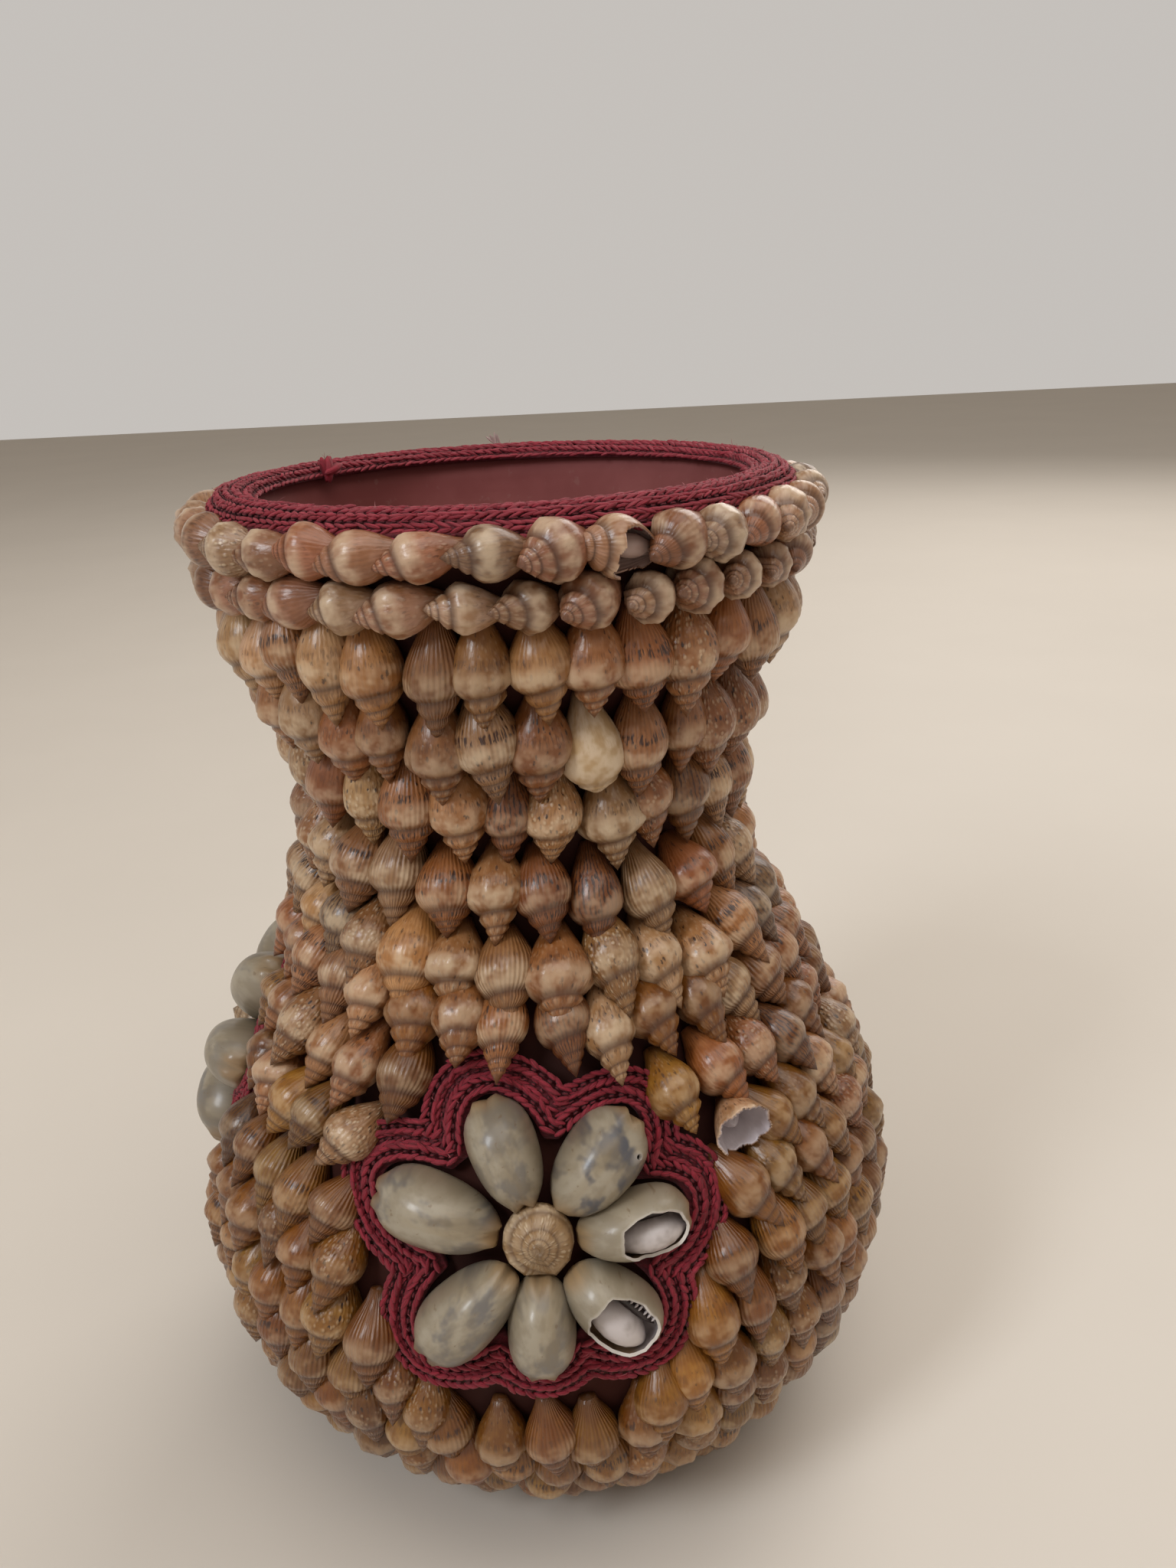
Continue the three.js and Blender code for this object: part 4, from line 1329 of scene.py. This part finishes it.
def add_chain(piece, path, outward, width, stitch, highlight_strength):
    """A chain of stitches along a closed path: pairs of legs that open in a V round a hole, a dark bead of
    painted shade.
    """
    closed = np.concatenate([path, path[:1]])
    run = run_along(closed)
    count = round(run[-1] / stitch)
    pitch = run[-1] / count
    at = (np.arange(count) + 0.5) * pitch
    centre = np.stack([np.interp(at, run, line) for line in closed.T], axis=1)
    facing = unit(np.stack([np.interp(at, run, [*line, line[0]]) for line in outward.T], axis=1))
    heading = unit(np.roll(centre, -1, axis=0) - np.roll(centre, 1, axis=0))
    side = unit(np.cross(facing, heading))
    scale = np.array([pitch, width, width])
    leg = spindle(1.0, 1.0, 1.0, *LEG_GRID)
    for hand in (-1.0, 1.0):
        sway = LEG_ANGLE + scatter(LEG_SWAY, count)[:, None]
        along = unit(heading * np.cos(sway) + hand * side * np.sin(sway) + LEG_RISE * facing)
        middle = centre + hand * LEG_OFFSET * width * side + scatter(LEG_SCATTER, (count, 1)) * facing
        sizes = LEG_SIZE * scale * rng.uniform(*LEG_SIZES, (count, 3))
        add_strands(piece, leg, middle, along, facing, sizes, highlight_strength=highlight_strength)
    # The hole: a dark bead of painted shade
    hole = centre + HOLE_LIFT * width * facing + HOLE_PLACE * pitch * heading
    sizes = HOLE_SIZE * scale * rng.uniform(*HOLE_SIZES, (count, 3))
    add_strands(piece, spindle(1.0, 1.0, 1.0, *HOLE_GRID), hole, heading, facing, sizes, dark=1.0)


def add_strands(piece, bead, middles, along, facing, sizes, dark=0.0, pale=0.0, highlight_strength=1.0):
    """Short rounded strands of one bead's form: their middles, directions, facings and sizes."""
    count = len(middles)
    leg, faces = bead
    across = unit(np.cross(facing, along))
    frames = np.stack([along, across, np.cross(along, across)], axis=1)
    points = middles[:, None] + (leg * sizes[:, None]) @ frames
    place = leg * FIBRE_STRETCH + rng.uniform(0.0, STRAND_SEEDS, (count, 1, 1))
    # Painted highlight on the top of each strand, of a strength drawn at random; painted shade beneath it,
    # and all over a dark hole
    highlight = highlight_strength * np.clip(leg[:, 2] * HIGHLIGHT_TOP, 0.0, 1.0) * rng.uniform(*HIGHLIGHT_LIMITS, (count, 1))
    braid_shade = np.clip(dark - leg[:, 2] * DARK_BELOW, 0.0, max(dark, DARK_LIMIT))
    part = np.stack(np.broadcast_arrays(highlight * (1.0 - dark), braid_shade, pale), axis=-1)
    piece.add(points, faces, braid_place=place, braid_part=part)


def add_fibres(piece, roots, outward, length, pale):
    """Thin loose ends of thread that stand off a braid."""
    count = len(roots)
    along = np.linspace(0.0, 1.0, FIBRE_POINTS)[None, :, None]
    reach = length * rng.uniform(*FIBRE_LENGTHS, (count, 1, 1))
    heading = unit(outward + scatter(FIBRE_LEAN, (count, 3)))[:, None]
    path = roots[:, None] + reach * (along * heading + along ** 2 * scatter(FIBRE_BEND, (count, 1, 3)))
    turn = np.linspace(0.0, TURN, FIBRE_SIDES, endpoint=False)
    spread = np.stack([np.cos(turn), np.sin(turn), np.sin(turn + 1.0)], axis=1)
    girth = FIBRE_GIRTH * (1.0 - FIBRE_TAPER * along)
    points = (path[:, :, None] + girth[:, :, None] * spread).reshape(count, -1, 3)
    faces = [grid_faces(FIBRE_POINTS, FIBRE_SIDES)]
    piece.add(points, faces, braid_place=points, braid_part=[*FIBRE_PART, pale])


def add_chain_and_fibres(piece, path, outward, chain, fibres):
    add_chain(piece, path, outward, *chain)
    count, length, pale = fibres
    pick = rng.integers(len(path), size=count)
    add_fibres(piece, path[pick] + FIBRE_ROOT * outward[pick], outward[pick], length, pale)


def add_band(piece, sections):
    """The braid's inner band, darkened with painted shade: a closed ring of sections that each hold the same
    number of points.
    """
    count, size, _ = sections.shape
    points = sections.reshape(-1, 3)
    corner = np.arange(size)
    after = (corner + 1) % size
    last = (count - 1) * size
    closing = np.stack([last + corner, last + after, after, corner], axis=1)
    closing_places = np.tile([[0.0, 1.0], [0.1, 1.0], [0.1, 1.0], [0.0, 1.0]], (size, 1, 1))
    faces = [grid_faces(count, size), (closing, closing_places)]
    piece.add(points, faces, braid_place=points, braid_part=BAND_PART)


def petal_outline(flower, angle, margin, valley, slack):
    """Reach of the petals' outline in each direction, widened by a margin and a share of their slack."""
    reach = valley
    for petal in flower["petals"]:
        turn = angle - math.radians(petal["angle"])
        middle = (petal["reach"] + petal["start"]) / 2
        long = (petal["reach"] - petal["start"]) / 2 + margin + slack * petal["slack"]
        wide = petal["girth"] + margin + slack * petal["slack"]
        a = (np.cos(turn) / long) ** 2 + (np.sin(turn) / wide) ** 2
        b = -2 * middle * np.cos(turn) / long ** 2
        c = (middle / long) ** 2 - 1
        inside = b * b - 4 * a * c
        far = (-b + np.sqrt(np.maximum(inside, 0.0))) / (2 * a)
        reach = np.where(inside > 0, np.maximum(reach, far), reach)
    return reach


def braid_reach(flower, angle, margin, inset, slack):
    """Reach of a line of the braid in each direction: round the petals and inside the valleys."""
    valley = VALLEY + VALLEY_TOP * np.sin(angle) + VALLEY_SIDES * np.cos(2 * angle)
    return petal_outline(flower, angle, margin, valley - inset, slack)


def smooth_ring(values, width):
    kernel = np.hanning(width + 2)[1:-1]
    padded = np.concatenate([values[-width:], values, values[:width]])
    return np.convolve(padded, kernel / kernel.sum(), mode="same")[width:-width]


def add_flower_braid(flower):
    name = f"{flower['name']}_braid"
    piece = Piece(f"{name}_chains", "braid", BRAID, name)
    angle = np.linspace(0.0, TURN, LOOP_SAMPLES, endpoint=False)
    inner, outer = (smooth_ring(braid_reach(flower, angle, *edge), BAND_SMOOTHING)
                    for edge in (LOOP_INNER, LOOP_OUTER))
    section = [(inner, SKIN_GAP), (outer, SKIN_GAP), (outer, LOOP_SIDE), ((inner + outer) / 2, LOOP_CROWN),
               (inner, LOOP_SIDE)]
    lines = [on_flower(flower, angle, reach, lift)[::BAND_STEP] for reach, lift in section]
    add_band(piece, np.stack(lines, axis=1))
    for margin, inset, slack, lift in LOOP_CHAINS:
        reach = smooth_ring(braid_reach(flower, angle, margin, inset, slack), CHAIN_SMOOTHING)
        path = on_flower(flower, angle, reach, lift)
        outward = on_flower(flower, angle, reach, lift + 1.0) - path
        add_chain_and_fibres(piece, path, outward, LOOP_CHAIN, LOOP_FIBRES)
    piece.finish()


def add_rim_braid():
    piece = Piece("rim_braid_chains", "braid", BRAID, "rim_braid")
    azimuth = np.linspace(0.0, TURN, RIM_SAMPLES, endpoint=False)
    around = compass(azimuth)
    add_band(piece, np.stack([radius * around + height * UP for radius, height in RIM_SECTION], axis=1))
    (slow, slow_size), (fast, fast_size) = RIM_WAVES
    for radius, height, lean in RIM_CHAINS:
        wave = wavy(azimuth, [(slow, slow_size, radius), (fast, fast_size, 0.0)])
        path = around * (radius * wave)[:, None] + height * UP
        outward = around * math.sin(lean) + UP * math.cos(lean)
        add_chain_and_fibres(piece, path, outward, RIM_CHAIN, RIM_FIBRES)
    add_knot(piece)
    add_frayed_end(piece)
    piece.finish()


def add_knot(piece):
    """The knot that ends the braid inside the lip."""
    inward = -compass(KNOT_AZIMUTH)
    level = np.cross(UP, inward)
    radius, height = KNOT_PLACE
    knot = height * UP - radius * inward
    middles = knot + np.outer(np.sin(KNOT_TILTS), level) + np.outer(KNOT_STEPS, inward)
    along = np.outer(np.cos(KNOT_TILTS), UP) + np.outer(np.sin(KNOT_TILTS), level)
    sizes = np.tile(KNOT_STRAND, (len(middles), 1))
    add_strands(piece, spindle(1.0, 1.0, 1.0, *STRAND_GRID), middles, along, inward, sizes)
    count, length, pale = KNOT_FIBRES
    add_fibres(piece, np.tile(knot + KNOT_TOP * UP, (count, 1)), UP, length, pale)


def add_frayed_end(piece):
    """A frayed pale end of the braid that stands up at the back."""
    back = compass(FRAY_AZIMUTH)
    level = np.cross(UP, back)
    radius, height = FRAY_PLACE
    spread = rng.uniform(-1.0, 1.0, FRAY_STRANDS)
    middles = radius * back + height * UP + np.outer(spread, level)
    lean, spread_lean = FRAY_LEAN
    along = UP + np.outer(lean + spread_lean * spread, level) + scatter(FRAY_SCATTER, (FRAY_STRANDS, 3))
    sizes = np.array(FRAY_STRAND) * rng.uniform(*FRAY_SIZES, (FRAY_STRANDS, 1))
    strand = spindle(1.0, 1.0, 1.0, *STRAND_GRID)
    add_strands(piece, strand, middles, unit(along), -back, sizes, pale=FRAY_PALENESS)


# The floor, the light and the view

CAMERA_PLACE = np.array([12.3, -221.7, 214.1])
CAMERA_PITCH = math.radians(20.6)
CAMERA_ROLL = math.radians(2.79)
FOCAL_PIXELS = 1610.0
FRAME_PIXELS = 2048.0
SENSOR = 36.0
NEAREST = 0.01
# The surroundings: the heights between which the pale horizon gives way to the light above, and their tints
HORIZON_BAND = (0.2, 0.45)
HORIZON_LIGHT = (0.56, 0.53, 0.5, 1.0)
SKY_LIGHT = (0.29, 0.25, 0.205, 1.0)
# Each light's place and size in metres, power and tint, and the point that they all face
LIGHTS = {
    "window": ((-0.75, -0.75, 1.05), (0.3, 0.5), 7.8, (0.9, 0.95, 1.0)),
    "ceiling": ((0.28, -0.3, 1.5), (1.3, 1.3), 10.5, (1.0, 0.97, 0.92)),
    "back_fill": ((0.6, 1.0, 0.9), (0.9, 0.9), 7.0, (1.0, 0.97, 0.93)),
}
LIGHT_TARGET = 0.1 * UP
FLOOR_HALF = 3.0


def placed(right, up, back, place):
    """The matrix of a thing that looks away from its back axis, at a place in metres."""
    axes = np.stack([right, up, back, place], axis=1)
    return Matrix([*axes.tolist(), [0.0, 0.0, 0.0, 1.0]])


def add_camera():
    forward = np.array([0.0, math.cos(CAMERA_PITCH), -math.sin(CAMERA_PITCH)])
    above = np.array([0.0, math.sin(CAMERA_PITCH), math.cos(CAMERA_PITCH)])
    level = np.array([1.0, 0.0, 0.0])
    right = level * math.cos(CAMERA_ROLL) - above * math.sin(CAMERA_ROLL)
    up = level * math.sin(CAMERA_ROLL) + above * math.cos(CAMERA_ROLL)
    data = bpy.data.cameras.new("view")
    data.sensor_width = SENSOR
    data.lens = FOCAL_PIXELS / FRAME_PIXELS * SENSOR
    data.clip_start = NEAREST
    camera = bpy.data.objects.new("view", data)
    camera.matrix_world = placed(right, up, -forward, CAMERA_PLACE * MM)
    bpy.context.scene.collection.objects.link(camera)
    bpy.context.scene.camera = camera


def add_light(name, place, size, power, tint):
    data = bpy.data.lights.new(name, "AREA")
    data.shape = "RECTANGLE"
    data.size, data.size_y = size
    data.energy = power
    data.color = tint
    light = bpy.data.objects.new(name, data)
    light.visible_camera = False
    back = unit(np.array(place) - LIGHT_TARGET)
    side = unit(np.cross(UP, back))
    light.matrix_world = placed(side, np.cross(back, side), back, place)
    bpy.context.scene.collection.objects.link(light)


def add_surroundings():
    """Warm soft light from all round, with a paler band along the horizon."""
    world = bpy.data.worlds.new("studio")
    world.use_nodes = True
    tree = world.node_tree
    _, _, height = coordinates(tree, "Generated").split()
    tint = height.ramp(*HORIZON_BAND).blend(HORIZON_LIGHT, SKY_LIGHT)
    set_inputs(tree, tree.nodes["Background"], {"Color": tint, "Strength": 1.0})
    bpy.context.scene.world = world


def add_floor():
    material, tree = make_material("pale_floor")
    patches = coordinates(tree, "Object").noise(6.0, 3.0)
    base = patches.blend(PAINTS["floor"], PAINTS["light_floor"])
    finish_material(material, {"Base Color": base, "Roughness": 0.6})
    mesh = bpy.data.meshes.new("floor")
    corners = FLOOR_HALF * np.array([[-1, -1, 0], [1, -1, 0], [1, 1, 0], [-1, 1, 0]])
    mesh.from_pydata(corners.tolist(), [], [(0, 1, 2, 3)])
    mesh.materials.append(material)
    floor = bpy.data.objects.new("floor", mesh)
    bpy.context.scene.collection.objects.link(floor)


add_camera()
add_floor()
add_surroundings()
for name, light in LIGHTS.items():
    add_light(name, *light)
bpy.context.scene.view_settings.view_transform = "Standard"
add_pot()
add_rim_braid()
add_rim_rows()
add_upright_rows()
for flower in FLOWERS:
    for number, petal in enumerate(flower["petals"], 1):
        add_cowrie(flower, petal, number)
    add_boss(flower)
    add_flower_braid(flower)
